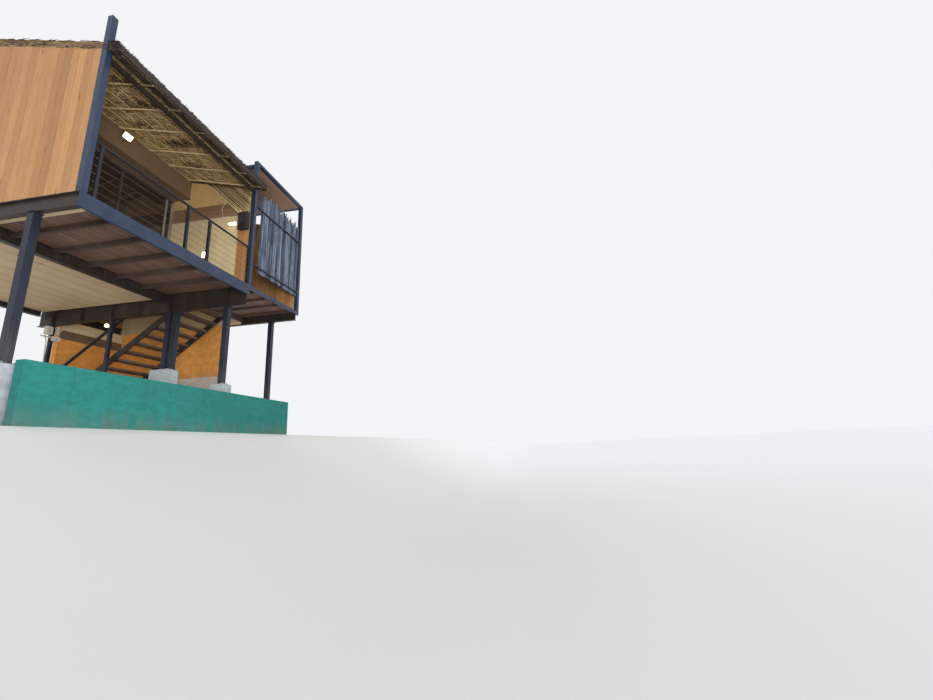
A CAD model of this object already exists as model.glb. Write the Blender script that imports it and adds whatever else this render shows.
"""Looks of the stilt house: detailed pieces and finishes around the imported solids."""

from __future__ import annotations

import logging
import math
import random
from collections.abc import Callable, Iterable, Sequence
from dataclasses import dataclass
from enum import Enum
from functools import cache

import bmesh
import bpy
import numpy as np
from mathutils import Matrix, Vector


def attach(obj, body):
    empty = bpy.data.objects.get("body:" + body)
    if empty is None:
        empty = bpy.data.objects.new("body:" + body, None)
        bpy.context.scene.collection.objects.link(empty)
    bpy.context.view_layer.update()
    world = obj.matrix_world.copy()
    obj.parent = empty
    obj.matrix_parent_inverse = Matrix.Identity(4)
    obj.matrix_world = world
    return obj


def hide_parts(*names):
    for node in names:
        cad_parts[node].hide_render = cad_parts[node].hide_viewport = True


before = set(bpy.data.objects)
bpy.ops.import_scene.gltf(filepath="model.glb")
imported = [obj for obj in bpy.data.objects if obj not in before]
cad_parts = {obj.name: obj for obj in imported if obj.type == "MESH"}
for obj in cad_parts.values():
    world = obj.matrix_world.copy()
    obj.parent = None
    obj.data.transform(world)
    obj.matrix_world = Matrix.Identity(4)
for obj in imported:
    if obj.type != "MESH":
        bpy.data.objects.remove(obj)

LOG = logging.getLogger("stilt_house")
CORNER = Vector((-3.0, -3.0, 0.0))  # near front corner of the house, in the model's frame
Spot = Sequence[float]
Pair = tuple[float, float]
Outline = Sequence[Pair]
Depth = float | np.ndarray
Colour = tuple[float, float, float]
BLACK: Colour = (0.0, 0.0, 0.0)
WHITE: Colour = (1.0, 1.0, 1.0)
RUST: Colour = (0.24, 0.09, 0.035)
DARK_RUST: Colour = (0.06, 0.02, 0.01)
DUST: Colour = (0.12, 0.105, 0.09)
EARTH: Colour = (0.16, 0.12, 0.09)
WET_EARTH: Colour = (0.14, 0.10, 0.065)


# Shader maths


class Signal:
    """One output of a finish's node tree; Python arithmetic on it adds Math nodes."""

    def __init__(self, sheet: Sheet, socket: bpy.types.NodeSocket | None) -> None:
        """Keeps the sheet and its output socket; None for a node that ends the tree."""
        self.sheet = sheet
        self.socket = socket

    def _math(self, operation: str, left: Signal | float, right: Signal | float) -> Signal:
        """Value of a new Math node, by Blender's name of its operation."""
        return self.sheet.node("ShaderNodeMath", {"operation": operation}, {0: left, 1: right})

    def __add__(self, other: Signal | float) -> Signal:
        """Sum."""
        return self._math("ADD", self, other)

    __radd__ = __add__

    def __sub__(self, other: Signal | float) -> Signal:
        """Difference."""
        return self._math("SUBTRACT", self, other)

    def __rsub__(self, other: Signal | float) -> Signal:
        """Reflected difference."""
        return self._math("SUBTRACT", other, self)

    def __mul__(self, other: Signal | float) -> Signal:
        """Product."""
        return self._math("MULTIPLY", self, other)

    __rmul__ = __mul__

    def __truediv__(self, other: Signal | float) -> Signal:
        """Quotient."""
        return self._math("DIVIDE", self, other)

    def __pow__(self, other: Signal | float) -> Signal:
        """Power."""
        return self._math("POWER", self, other)

    def over(self, other: Signal | float) -> Signal:
        """1 where this is greater than the other, else 0."""
        return self._math("GREATER_THAN", self, other)

    def larger(self, other: Signal | float) -> Signal:
        """The larger of the two."""
        return self._math("MAXIMUM", self, other)

    def whole(self) -> Signal:
        """Rounded down."""
        return self._math("FLOOR", self, 0.0)

    def part(self) -> Signal:
        """What is left over the whole number."""
        return self._math("FRACT", self, 0.0)

    def size(self) -> Signal:
        """Without its sign."""
        return self._math("ABSOLUTE", self, 0.0)

    def spread(self, low: float, high: float, to_low: float = 0.0, to_high: float = 1.0) -> Signal:
        """Maps a range to another smoothly, and holds it there.

        Args:
            low: Value that becomes to_low.
            high: Value that becomes to_high.
            to_low: Result at low.
            to_high: Result at high.

        Returns:
            The mapped value.
        """
        return self.sheet.node(
            "ShaderNodeMapRange", {"interpolation_type": "SMOOTHSTEP"},
            {0: self, 1: low, 2: high, 3: to_low, 4: to_high})


class Sheet:
    """Node tree of one finish."""

    def __init__(self, name: str, world: bool = False) -> None:
        """Starts a material, or the world, with no node in it.

        Args:
            name: Name of the material or world.
            world: True for a world.
        """
        self.owner = (bpy.data.worlds if world else bpy.data.materials).new(name)
        self.owner.use_nodes = True
        self.tree = self.owner.node_tree
        self.tree.nodes.clear()

    def node(self, kind: str, settings: dict | None = None, inputs: dict | None = None,
             output: int | str = 0) -> Signal:
        """Adds a node, sets it, and feeds its sockets.

        Args:
            kind: Blender's node type.
            settings: Properties set first; stops holds a ramp's places and colours.
            inputs: Values or signals by socket name or number.
            output: Name or number of the output wanted.

        Returns:
            That output.
        """
        made = self.tree.nodes.new(kind)
        for key, value in (settings or {}).items():
            if key == "stops":
                self._stops(made.color_ramp, value)
            else:
                setattr(made, key, value)
        for key, value in (inputs or {}).items():
            if isinstance(value, Signal):
                self.tree.links.new(value.socket, made.inputs[key])
            else:
                made.inputs[key].default_value = value
        return Signal(self, made.outputs[output] if made.outputs else None)

    @staticmethod
    def _stops(ramp: bpy.types.ColorRamp, stops: Sequence[tuple[float, Colour]]) -> None:
        """Gives a ramp its stops.

        Args:
            ramp: The ramp.
            stops: Place and colour of each stop, from 0 to 1.
        """
        while len(ramp.elements) < len(stops):
            ramp.elements.new(1.0)
        for element, (place, colour) in zip(ramp.elements, stops):
            element.position = place
            element.color = (*colour, 1.0)

    def place(self, stretch: Spot = (1.0, 1.0, 1.0)) -> Signal:
        """Coordinates in metres in the house's frame, stretched along each axis."""
        return self.scaled(self.node("ShaderNodeTexCoord", output="Object"), stretch)

    def scaled(self, where: Signal, stretch: Spot) -> Signal:
        """Coordinates stretched along each axis."""
        return self.node("ShaderNodeVectorMath", {"operation": "MULTIPLY"},
                         {0: where, 1: tuple(stretch)})

    def moved(self, where: Signal, number: Signal, seed: float, reach: float) -> Signal:
        """Coordinates moved at random for each board, so that no two boards show the same grain.

        Args:
            where: Coordinates.
            number: Number of the board.
            seed: Shifts the draw.
            reach: Most that they move along an axis, in metres.

        Returns:
            The moved coordinates.
        """
        shift = self.node("ShaderNodeCombineXYZ", None,
                          {i: self.chance(number, seed + i) * reach for i in range(3)})
        return self.node("ShaderNodeVectorMath", {"operation": "ADD"}, {0: where, 1: shift})

    def seen(self) -> Signal:
        """Tells what is seen from what only lights.

        Returns:
            1 for rays from the camera, off gloss or through glass, else 0.
        """
        camera, gloss, glass = (self.node("ShaderNodeLightPath", output=f"Is {kind} Ray")
                                for kind in ("Camera", "Glossy", "Transmission"))
        return camera.larger(gloss).larger(glass)

    def axes(self, where: Signal) -> tuple[Signal, Signal, Signal]:
        """Splits coordinates into x, y and z.

        Args:
            where: The coordinates.

        Returns:
            Their three parts.
        """
        parted = self.tree.nodes.new("ShaderNodeSeparateXYZ")
        self.tree.links.new(where.socket, parted.inputs[0])
        return tuple(Signal(self, parted.outputs[i]) for i in range(3))

    def noise(self, where: Signal, scale: float, detail: float = 3.0, rough: float = 0.55,
              warp: float = 0.0) -> Signal:
        """Cloudy noise from 0 to 1: lumps in a metre, octaves, weight of the finer ones, distortion."""
        return self.node("ShaderNodeTexNoise", None, {
            "Vector": where, "Scale": scale, "Detail": detail, "Roughness": rough, "Distortion": warp})

    def cells(self, where: Signal, scale: float, feature: str = "F1") -> Signal:
        """Distance to the nearest of many scattered points; scale is their number in a metre."""
        return self.node("ShaderNodeTexVoronoi", {"feature": feature},
                         {"Vector": where, "Scale": scale}, output="Distance")

    def chance(self, value: Signal, seed: float = 0.0) -> Signal:
        """One random number from 0 to 1 for each whole number; the seed shifts the draw."""
        return self.node("ShaderNodeTexWhiteNoise", {"noise_dimensions": "1D"}, {"W": value + seed})

    def ramp(self, value: Signal, stops: Sequence[tuple[float, Colour]]) -> Signal:
        """Colour at a value, from stops of a place and a colour each."""
        return self.node("ShaderNodeValToRGB", {"stops": stops}, {0: value})

    def mix(self, factor: Signal | float, first: Signal | Colour, second: Signal | Colour,
            blend: str = "MIX") -> Signal:
        """Mixes two colours.

        Args:
            factor: Share of the second.
            first: Colour at 0.
            second: Colour at 1.
            blend: Blender's name of the way they mix.

        Returns:
            The mixed colour.
        """
        held = [c if isinstance(c, Signal) else (*c, 1.0) for c in (first, second)]
        return self.node("ShaderNodeMix", {"data_type": "RGBA", "blend_type": blend},
                         {0: factor, 6: held[0], 7: held[1]}, output=2)

    def bump(self, height: Signal, depth: float, strength: float = 0.6) -> Signal:
        """Normal from a height from 0 to 1; depth is the metres between them, strength its share."""
        return self.node("ShaderNodeBump", None,
                         {"Strength": strength, "Distance": depth, "Height": height})

    def close(self, **sockets: Signal | float | Sequence[float]) -> bpy.types.Material:
        """Ends the tree in one shader.

        Args:
            **sockets: The shader's inputs, with _ for a space.

        Returns:
            The finished material.
        """
        named = {key.replace("_", " "): value for key, value in sockets.items()}
        shader = self.node("ShaderNodeBsdfPrincipled", None, named)
        self.node("ShaderNodeOutputMaterial", None, {"Surface": shader})
        return self.owner


def times(colour: Colour, share: float) -> Colour:
    """The colour with each part times the share, and none over 1."""
    return tuple(min(1.0, part * share) for part in colour)


class Way(Enum):
    """Direction in which boards, grain or ribs run, as the number of its axis."""

    ALONG = 0
    INWARD = 1
    UP = 2


@dataclass(frozen=True)
class Timber:
    """Sawn wood with grain, knots, boards of their own tone, and weathering."""

    name: str
    pale: Colour
    dark: Colour
    grain: Way
    laid: Way = Way.ALONG
    board: float = 0.14
    start: float = 0.0
    vary: float = 0.35
    rough: float = 0.62
    coat: float = 0.0
    fade: Colour = (0.20, 0.19, 0.18)
    faded: float = 0.15
    seam: float = 0.0

    def _stretch(self, along: float, across: float) -> list[float]:
        """How much the coordinates stretch with the grain and across it."""
        return [along if axis == self.grain.value else across for axis in range(3)]

    def make(self) -> bpy.types.Material:
        """Builds the material.

        Returns:
            The material.
        """
        sheet = Sheet(self.name)
        where = sheet.place()
        place = (sheet.axes(where)[self.laid.value] - self.start) / self.board
        number = place.whole()
        tone = sheet.chance(number, 3.7)
        moved = sheet.moved(where, number, 9.1, 7.0)
        along = sheet.scaled(moved, self._stretch(1.6, 26.0))
        rings = sheet.noise(along, 1.0, 4.0, 0.62, 0.8)
        fibre = sheet.noise(along, 5.0, 3.0, 0.7)
        cloud = sheet.noise(where, 1.7, 3.0)
        knots = 1.0 - sheet.cells(sheet.scaled(moved, self._stretch(1.4, 6.0)), 1.0).spread(0.02, 0.13)
        lines = rings * 0.7 + fibre * 0.3
        base = sheet.ramp(lines, [(0.30, self.dark), (0.52, self.pale), (0.72, self.dark)])
        toned = sheet.mix(self.vary, base, sheet.ramp(tone, [(0.0, self.dark), (1.0, self.pale)]))
        knotted = sheet.mix(knots * 0.7, toned, times(self.dark, 0.35))
        colour = sheet.mix(cloud.spread(0.45, 0.75) * self.faded, knotted, self.fade)
        if self.seam:
            share = self.seam / self.board
            seams = (place.part() - 0.5).size().spread(0.5 - share, 0.5 - 0.4 * share)
            colour = sheet.mix(seams * 0.75, colour, times(self.dark, 0.3))
        return sheet.close(
            Base_Color=colour, Roughness=fibre * 0.2 + cloud * 0.15 + (self.rough - 0.17),
            Normal=sheet.bump(lines - knots * 0.4, 0.0035), Coat_Weight=self.coat)


@dataclass(frozen=True)
class Paint:
    """Brushed or sprayed coat on steel, with dust, faint runs, and rust where it has chipped.

    Attributes:
        name: Name of the material.
        colour: The coat's colour.
        rough: Roughness of the coat.
        chips: Share of the rust where it has chipped.
        dust: Share of the dust.
        foot: Height at which splashed earth starts; under the ground for none.
        coat: Weight of the clear coat.
    """

    name: str
    colour: Colour
    rough: float = 0.36
    chips: float = 0.16
    dust: float = 0.25
    foot: float = -2.0
    coat: float = 0.06

    def make(self) -> bpy.types.Material:
        """Builds the material.

        Returns:
            The material.
        """
        sheet = Sheet(self.name)
        where = sheet.place()
        mottle = sheet.noise(where, 3.2, 4.0)
        fine = sheet.noise(where, 46.0, 3.0, 0.6)
        runs = sheet.noise(sheet.place((16.0, 16.0, 0.8)), 1.0, 4.0, 0.6)
        flaws = sheet.noise(where, 21.0, 5.0, 0.7, 0.6)
        chipped = (flaws + mottle * 0.25).spread(0.80, 0.86) * self.chips * 4.0
        rust = sheet.ramp(fine, [(0.3, DARK_RUST), (0.7, RUST)])
        paler = tuple(part * 1.45 + 0.004 for part in self.colour)
        shade = sheet.mix(mottle.spread(0.3, 0.7) * 0.5, self.colour, paler)
        worn = sheet.mix(runs.spread(0.52, 0.78) * self.dust, shade, DUST)
        height = sheet.axes(where)[2]
        splash = (1.0 - height.spread(self.foot, self.foot + 0.55)) * runs.spread(0.35, 0.65)
        dusty = sheet.mix(splash * 0.25, worn, EARTH)
        colour = sheet.mix(chipped, dusty, rust)
        rough = mottle * 0.16 + runs * 0.14 + chipped * 0.4 + (self.rough - 0.13)
        return sheet.close(
            Base_Color=colour, Roughness=rough,
            Normal=sheet.bump(fine * 0.5 + flaws * 0.5 - chipped, 0.0012, 0.5), Coat_Weight=self.coat,
            Specular_IOR_Level=0.3)


@dataclass(frozen=True)
class Render:
    """Trowelled and painted render, or cast concrete, with stains, pores and splashed earth.

    Attributes:
        name: Name of the material.
        colour: Its colour.
        stain: Colour of its stains.
        foot: Height at which splashed earth starts.
        splash: How far up the earth has splashed.
        pores: Share of the pores' dark.
        rough: Its roughness.
        shutter: Height between the marks of the shuttering; 0 for none.
        soiled: Share of the splashed earth.
    """

    name: str
    colour: Colour
    stain: Colour
    foot: float = 0.0
    splash: float = 0.5
    pores: float = 0.3
    rough: float = 0.86
    shutter: float = 0.0
    soiled: float = 0.35

    def make(self) -> bpy.types.Material:
        """Builds the material.

        Returns:
            The material.
        """
        sheet = Sheet(self.name)
        where = sheet.place()
        broad = sheet.noise(where, 0.9, 5.0, 0.6)
        trowel = sheet.noise(sheet.place((5.0, 5.0, 9.0)), 1.0, 4.0, 0.6, 1.2)
        grit = sheet.noise(where, 130.0, 2.0, 0.6)
        streak = sheet.noise(sheet.place((7.0, 7.0, 0.45)), 1.0, 5.0, 0.65)
        pitted = (1.0 - sheet.cells(where, 34.0).spread(0.03, 0.16)) * broad.spread(0.4, 0.6)
        height = sheet.axes(where)[2]
        wet = (1.0 - height.spread(self.foot, self.foot + self.splash)) * streak.spread(0.30, 0.62)
        tone = sheet.mix(trowel.spread(0.3, 0.7), times(self.colour, 0.86), times(self.colour, 1.14))
        aged = sheet.mix(broad.spread(0.42, 0.70) * 0.45, tone, self.stain)
        run = sheet.mix(streak.spread(0.55, 0.80) * 0.40, aged, times(self.stain, 0.6))
        soiled = sheet.mix(wet * self.soiled, run, WET_EARTH)
        colour = sheet.mix(pitted * self.pores, soiled, times(self.stain, 0.4))
        relief = trowel * 0.5 + grit * 0.2 - pitted * 0.5
        if self.shutter:
            relief = relief + (1.0 - (height / self.shutter).part().spread(0.0, 0.06)) * 0.8
        return sheet.close(Base_Color=colour, Roughness=grit * 0.12 + broad * 0.1 + (self.rough - 0.1),
                           Normal=sheet.bump(relief, 0.004, 0.7))


@dataclass(frozen=True)
class Straw:
    """Bundled grass: straws of their own tone, weathered, and dark with damp past the eave."""

    name: str
    pale: Colour
    middle: Colour
    dark: Colour
    weather: Colour
    weathered: float = 0.3
    own_tone: bool = True
    edge: float = 0.93
    damp: Colour = (0.022, 0.015, 0.015)

    def make(self) -> bpy.types.Material:
        """Builds the material.

        Returns:
            The material.
        """
        sheet = Sheet(self.name)
        where = sheet.place()
        fibres = sheet.noise(sheet.place((95.0, 7.0, 34.0)), 1.0, 4.0, 0.7, 0.4)
        patch = sheet.noise(where, 2.3, 4.0, 0.6, 0.5)
        if self.own_tone:
            tone = sheet.node("ShaderNodeAttribute", {"attribute_name": "tone"}, output="Fac")
            value = tone * 0.65 + fibres * 0.35
        else:
            value = fibres
        base = sheet.ramp(value, [(0.08, times(self.dark, 0.2)), (0.20, self.dark), (0.45, self.middle),
                                  (0.85, self.pale)])
        shaded = sheet.mix(patch.spread(0.52, 0.74) * 0.55, base, self.dark)
        aged = sheet.mix(patch.spread(0.55, 0.30) * self.weathered, shaded, self.weather)
        edge = sheet.axes(where)[1].size().spread(2.93, 3.0)
        colour = sheet.mix(edge * self.edge, aged, self.damp)
        return sheet.close(Base_Color=colour, Roughness=fibres * 0.2 + 0.68,
                           Normal=sheet.bump(fibres, 0.008, 0.8))


@dataclass(frozen=True)
class SplitWood:
    """Split slats left to grey in the weather, with deep fibres, checks and rusty nail stains."""

    name: str
    pale: Colour
    dark: Colour
    tint: Colour
    pitch: float
    start: float

    def make(self) -> bpy.types.Material:
        """Builds the material.

        Returns:
            The material.
        """
        sheet = Sheet(self.name)
        where = sheet.place()
        number = ((sheet.axes(where)[0] - self.start) / self.pitch).whole()
        tone = sheet.chance(number, 2.2)
        moved = sheet.moved(where, number, 5.0, 5.0)
        fibre = sheet.noise(sheet.scaled(moved, (60.0, 40.0, 2.4)), 1.0, 5.0, 0.68, 0.5)
        check = sheet.noise(sheet.scaled(moved, (34.0, 20.0, 0.8)), 1.0, 2.0, 0.5, 1.0)
        cloud = sheet.noise(where, 3.0, 3.0)
        cracks = 1.0 - (check - 0.5).size().spread(0.0, 0.035)
        streak = fibre * 0.35 + check * 0.45 + tone * 0.2
        base = sheet.ramp(streak, [(0.38, self.dark), (0.49, self.tint), (0.62, self.pale)])
        toned = sheet.mix(tone.spread(0.3, 0.9) * 0.30, base, self.dark)
        greyed = sheet.mix(cloud.spread(0.5, 0.8) * 0.2, toned, self.pale)
        colour = sheet.mix(cracks * 0.9, greyed, times(self.dark, 0.3))
        return sheet.close(Base_Color=colour, Roughness=fibre * 0.2 + 0.66,
                           Normal=sheet.bump(fibre - cracks * 0.8, 0.006, 0.9))


@dataclass(frozen=True)
class Bamboo:
    """Pole or split lath with node bands and a waxy skin, smoked dark past the eave beam."""

    name: str
    pale: Colour
    dark: Colour
    node_gap: float = 0.28

    def make(self) -> bpy.types.Material:
        """Builds the material.

        Returns:
            The material.
        """
        sheet = Sheet(self.name)
        where = sheet.place()
        x, y, _ = sheet.axes(where)
        number = (x / 0.11).whole()
        along = (y / self.node_gap + sheet.chance(number, 1.0)).part()
        band = 1.0 - (along - 0.5).size().spread(0.0, 0.035)
        fibre = sheet.noise(sheet.place((70.0, 3.0, 70.0)), 1.0, 3.0, 0.6)
        cloud = sheet.noise(where, 5.0, 4.0, 0.6)
        base = sheet.mix(fibre * 0.5 + cloud * 0.5, self.dark, self.pale)
        banded = sheet.mix(band * 0.7, base, times(self.dark, 0.35))
        colour = sheet.mix(y.size().spread(2.94, 3.02) * 0.8, banded, times(self.dark, 0.12))
        return sheet.close(Base_Color=colour, Roughness=cloud * 0.2 + 0.34,
                           Normal=sheet.bump(fibre * 0.4 + band, 0.002, 0.6), Coat_Weight=0.1)


@dataclass(frozen=True)
class WovenMat:
    """Plaited split bamboo: a two over, two under twill in strips of uneven tone."""

    name: str
    pale: Colour
    dark: Colour
    strip: float = 0.022

    def make(self) -> bpy.types.Material:
        """Builds the material.

        Returns:
            The material.
        """
        sheet = Sheet(self.name)
        where = sheet.place()
        _, y, z = sheet.axes(where)
        diagonal = self.strip * 1.4142
        a, b = (y + z) / diagonal, (y - z) / diagonal
        over = ((a.whole() + b.whole()) / 4.0).part().over(0.49)
        across = (a.part() - 0.5).size() * 2.0
        down = (b.part() - 0.5).size() * 2.0
        edge = across * over + down * (1.0 - over)
        tone = sheet.chance(a.whole(), 1.0) * over + sheet.chance(b.whole(), 7.0) * (1.0 - over)
        cloud = sheet.noise(where, 4.0, 3.0)
        fibre = sheet.noise(where, 90.0, 2.0)
        base = sheet.mix(tone * 0.6 + fibre * 0.2 + cloud * 0.2, self.dark, self.pale)
        colour = sheet.mix(edge.spread(0.72, 1.0) * 0.75, base, times(self.dark, 0.3))
        return sheet.close(Base_Color=colour, Roughness=fibre * 0.2 + 0.55,
                           Normal=sheet.bump(1.0 - edge.spread(0.4, 1.0), 0.004, 0.8))


@dataclass(frozen=True)
class SheetMetal:
    """Profiled roof sheet with a dull zinc bloom, streaks under each lap and rust at the edges."""

    name: str
    colour: Colour
    rust: Colour

    def make(self) -> bpy.types.Material:
        """Builds the material.

        Returns:
            The material.
        """
        sheet = Sheet(self.name)
        where = sheet.place()
        bloom = sheet.cells(where, 26.0, "SMOOTH_F1")
        streak = sheet.noise(sheet.place((0.8, 9.0, 9.0)), 1.0, 5.0, 0.65)
        cloud = sheet.noise(where, 1.3, 4.0)
        spots = sheet.noise(where, 17.0, 5.0, 0.7).spread(0.62, 0.74)
        base = sheet.mix(bloom, times(self.colour, 0.82), times(self.colour, 1.15))
        aged = sheet.mix(streak.spread(0.45, 0.75) * 0.5, base, times(self.colour, 0.55))
        rusty = spots * cloud.spread(0.45, 0.62) * 0.8
        return sheet.close(
            Base_Color=sheet.mix(rusty, aged, self.rust), Metallic=0.55 - rusty * 0.5,
            Roughness=streak * 0.3 + rusty * 0.3 + 0.32, Normal=sheet.bump(streak, 0.001, 0.3))


@dataclass(frozen=True)
class Pane:
    """Tinted float glass with a bluish film of damp on its lower part and faint wiping marks."""

    name: str
    tint: Colour
    film: Colour
    misted: float = 0.4
    clear: float = 0.85

    def make(self) -> bpy.types.Material:
        """Builds the material.

        Returns:
            The material.
        """
        sheet = Sheet(self.name)
        where = sheet.place()
        wipe = sheet.noise(sheet.place((2.0, 2.0, 0.9)), 1.0, 4.0, 0.55, 1.2)
        low = (1.0 - sheet.axes(where)[2].spread(4.2, 5.6)) * wipe.spread(0.25, 0.6)
        colour = sheet.mix(low * self.misted, self.tint, self.film)
        return sheet.close(Base_Color=colour, Roughness=low * 0.10 + wipe * 0.04 + 0.03,
                           Alpha=low * 0.1 + self.clear, Specular_IOR_Level=0.8, Coat_Weight=0.5)


@dataclass(frozen=True)
class Glow:
    """Frosted glass of a lit lamp, brighter at its middle than towards the cap."""

    name: str
    colour: Colour
    strength: float

    def make(self) -> bpy.types.Material:
        """Builds the material.

        Returns:
            The material.
        """
        sheet = Sheet(self.name)
        frost = sheet.noise(sheet.place(), 60.0, 3.0)
        tint = sheet.mix(frost, self.colour, times(self.colour, 1.2))
        return sheet.close(Base_Color=tint, Emission_Color=tint, Emission_Strength=self.strength,
                           Roughness=frost * 0.1 + 0.25)


@dataclass(frozen=True)
class BareMetal:
    """Stainless or zinc-plated fixings, dulled and finger-marked."""

    name: str
    colour: Colour
    rough: float = 0.34

    def make(self) -> bpy.types.Material:
        """Builds the material.

        Returns:
            The material.
        """
        sheet = Sheet(self.name)
        where = sheet.place()
        dull = sheet.noise(where, 38.0, 4.0, 0.6)
        scratch = sheet.noise(sheet.place((220.0, 30.0, 220.0)), 1.0, 2.0)
        colour = sheet.mix(dull.spread(0.5, 0.8) * 0.6, self.colour, times(self.colour, 0.5))
        return sheet.close(Base_Color=colour, Metallic=0.9, Roughness=dull * 0.3 + (self.rough - 0.12),
                           Normal=sheet.bump(scratch, 0.0004, 0.4))


class Finish(Enum):
    """Every finish of the house."""

    GREEN_WALL = Render("green_wall", (0.004, 0.150, 0.130), (0.003, 0.108, 0.095),
                        splash=0.4, pores=0.25, rough=0.80)
    CONCRETE = Render("cast_concrete", (0.36, 0.39, 0.42), (0.24, 0.25, 0.26),
                      pores=0.7, rough=0.88, shutter=0.30)
    PALE_RENDER = Render("pale_render", (0.55, 0.49, 0.40), (0.38, 0.32, 0.25), splash=0.8, pores=0.2)
    TERRACOTTA = Render("terracotta_render", (0.80, 0.345, 0.075), (0.64, 0.250, 0.050),
                        foot=1.77, splash=0.35, pores=0.15)
    STILT_STEEL = Paint("stilt_steel", (0.009, 0.012, 0.023),
                        rough=0.42, chips=0.07, dust=0.14, foot=1.1)
    GIRDER_STEEL = Paint("girder_steel", (0.022, 0.016, 0.013), rough=0.44, chips=0.14, dust=0.22)
    FASCIA_STEEL = Paint("fascia_steel", (0.015, 0.026, 0.055), rough=0.38, chips=0.06, dust=0.20)
    RAIL_STEEL = Paint("rail_steel", (0.008, 0.009, 0.012), rough=0.46, chips=0.04, dust=0.05)
    JOIST = Timber("stained_joist", (0.060, 0.036, 0.024), (0.022, 0.013, 0.010), Way.INWARD, board=0.3)
    DECK = Timber("deck_plank", (0.190, 0.102, 0.070), (0.085, 0.042, 0.029), Way.ALONG, Way.INWARD,
                  board=0.1436, start=-2.94, vary=0.55, rough=0.60,
                  fade=(0.26, 0.20, 0.17), faded=0.25, seam=0.010)
    FLOOR = Timber("oiled_floor", (0.42, 0.25, 0.12), (0.24, 0.12, 0.05), Way.ALONG, Way.INWARD,
                   board=0.12, vary=0.5, rough=0.42, coat=0.2, fade=(0.3, 0.2, 0.1), faded=0.1)
    SOFFIT = Timber("cream_soffit", (0.66, 0.49, 0.29), (0.54, 0.39, 0.22), Way.ALONG, Way.INWARD,
                    board=0.39, start=-0.49, vary=0.45, rough=0.60,
                    fade=(0.42, 0.30, 0.18), faded=0.25, seam=0.012)
    TREAD = Timber("stair_tread", (0.120, 0.070, 0.045), (0.050, 0.028, 0.019), Way.ALONG, Way.INWARD,
                   board=0.265, vary=0.5, rough=0.52, coat=0.1)
    BROWN_BOARD = Timber("brown_board", (0.490, 0.255, 0.098), (0.210, 0.088, 0.030), Way.UP,
                         Way.INWARD, board=0.145, start=-2.9, vary=0.5, rough=0.60,
                         fade=(0.34, 0.21, 0.12), faded=0.3)
    BACK_BOARD = Timber("back_board", (0.390, 0.200, 0.085), (0.190, 0.085, 0.034), Way.UP, Way.ALONG,
                        board=0.145, start=-2.95, vary=0.5, fade=(0.24, 0.18, 0.13), faded=0.4)
    PALE_PLANK = Timber("pale_plank", (0.680, 0.540, 0.310), (0.560, 0.430, 0.230), Way.UP,
                        Way.INWARD, board=0.19, start=-2.57, vary=0.30, rough=0.58,
                        fade=(0.50, 0.38, 0.22), faded=0.2)
    CREAM_BATTEN = Timber("cream_batten", (0.700, 0.540, 0.310), (0.560, 0.420, 0.230), Way.INWARD,
                          Way.INWARD, board=1.1, start=-2.9, vary=0.3, rough=0.58,
                          fade=(0.50, 0.38, 0.22), faded=0.2)
    GABLE_BOARD = Timber("gable_board", (0.600, 0.400, 0.165), (0.430, 0.270, 0.100), Way.UP,
                         Way.INWARD, board=0.42, start=-2.57, vary=0.4, rough=0.58,
                         fade=(0.40, 0.27, 0.14), faded=0.3)
    BAND_BOARD = Timber("band_board", (0.290, 0.165, 0.090), (0.160, 0.085, 0.045), Way.INWARD,
                        Way.UP, board=0.13, start=5.20, vary=0.4, rough=0.56,
                        fade=(0.22, 0.15, 0.10), faded=0.3)
    DARK_BOARD = Timber("dark_board", (0.185, 0.120, 0.075), (0.080, 0.050, 0.032), Way.ALONG, Way.UP,
                        board=0.165, start=2.80, vary=0.4, rough=0.50, coat=0.1,
                        fade=(0.16, 0.13, 0.1), faded=0.2)
    BULKHEAD = Timber("bulkhead_board", (0.175, 0.117, 0.064), (0.086, 0.054, 0.029), Way.ALONG, Way.UP,
                      board=0.6, start=6.16, vary=0.3, rough=0.52, coat=0.05,
                      fade=(0.20, 0.14, 0.08), faded=0.2)
    LINING = Timber("roof_lining_board", (0.310, 0.190, 0.125), (0.180, 0.103, 0.070), Way.ALONG,
                    Way.INWARD, board=0.145, start=-2.9, vary=0.3, rough=0.60,
                    fade=(0.28, 0.2, 0.17), faded=0.2)
    SLAT = SplitWood("split_slat", (0.240, 0.300, 0.405), (0.010, 0.015, 0.027), (0.072, 0.098, 0.155),
                     pitch=0.0814, start=1.16)
    POLE = Bamboo("bamboo_pole", (0.84, 0.68, 0.40), (0.62, 0.45, 0.21))
    LATH = Bamboo("bamboo_lath", (0.78, 0.60, 0.32), (0.52, 0.36, 0.15), node_gap=0.33)
    MAT = WovenMat("woven_mat", (0.15, 0.095, 0.042), (0.05, 0.030, 0.015))
    STRAW_TOP = Straw("straw_top", (0.300, 0.225, 0.135), (0.150, 0.105, 0.062),
                      (0.040, 0.028, 0.020), (0.110, 0.100, 0.095), weathered=0.45)
    STRAW_UNDER = Straw("straw_under", (0.880, 0.680, 0.350), (0.620, 0.430, 0.180),
                        (0.300, 0.180, 0.070), (0.450, 0.310, 0.140), weathered=0.15)
    STRAW_BED = Straw("straw_bed", (0.420, 0.270, 0.115), (0.220, 0.130, 0.055),
                      (0.060, 0.035, 0.018), (0.160, 0.110, 0.065), own_tone=False)
    ROOF_SHEET = SheetMetal("roof_sheet", (0.30, 0.275, 0.27), (0.17, 0.075, 0.04))
    GLASS = Pane("float_glass", (0.030, 0.020, 0.014), (0.09, 0.11, 0.14))
    DOOR_FRAME = Paint("door_frame", (0.50, 0.46, 0.38), rough=0.42, chips=0.02, dust=0.20)
    DARK_FRAME = Paint("dark_frame", (0.048, 0.036, 0.028), rough=0.42, chips=0.03, dust=0.15)
    STILE = Paint("pale_stile", (0.220, 0.190, 0.150), rough=0.42, chips=0.03, dust=0.20)
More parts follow.
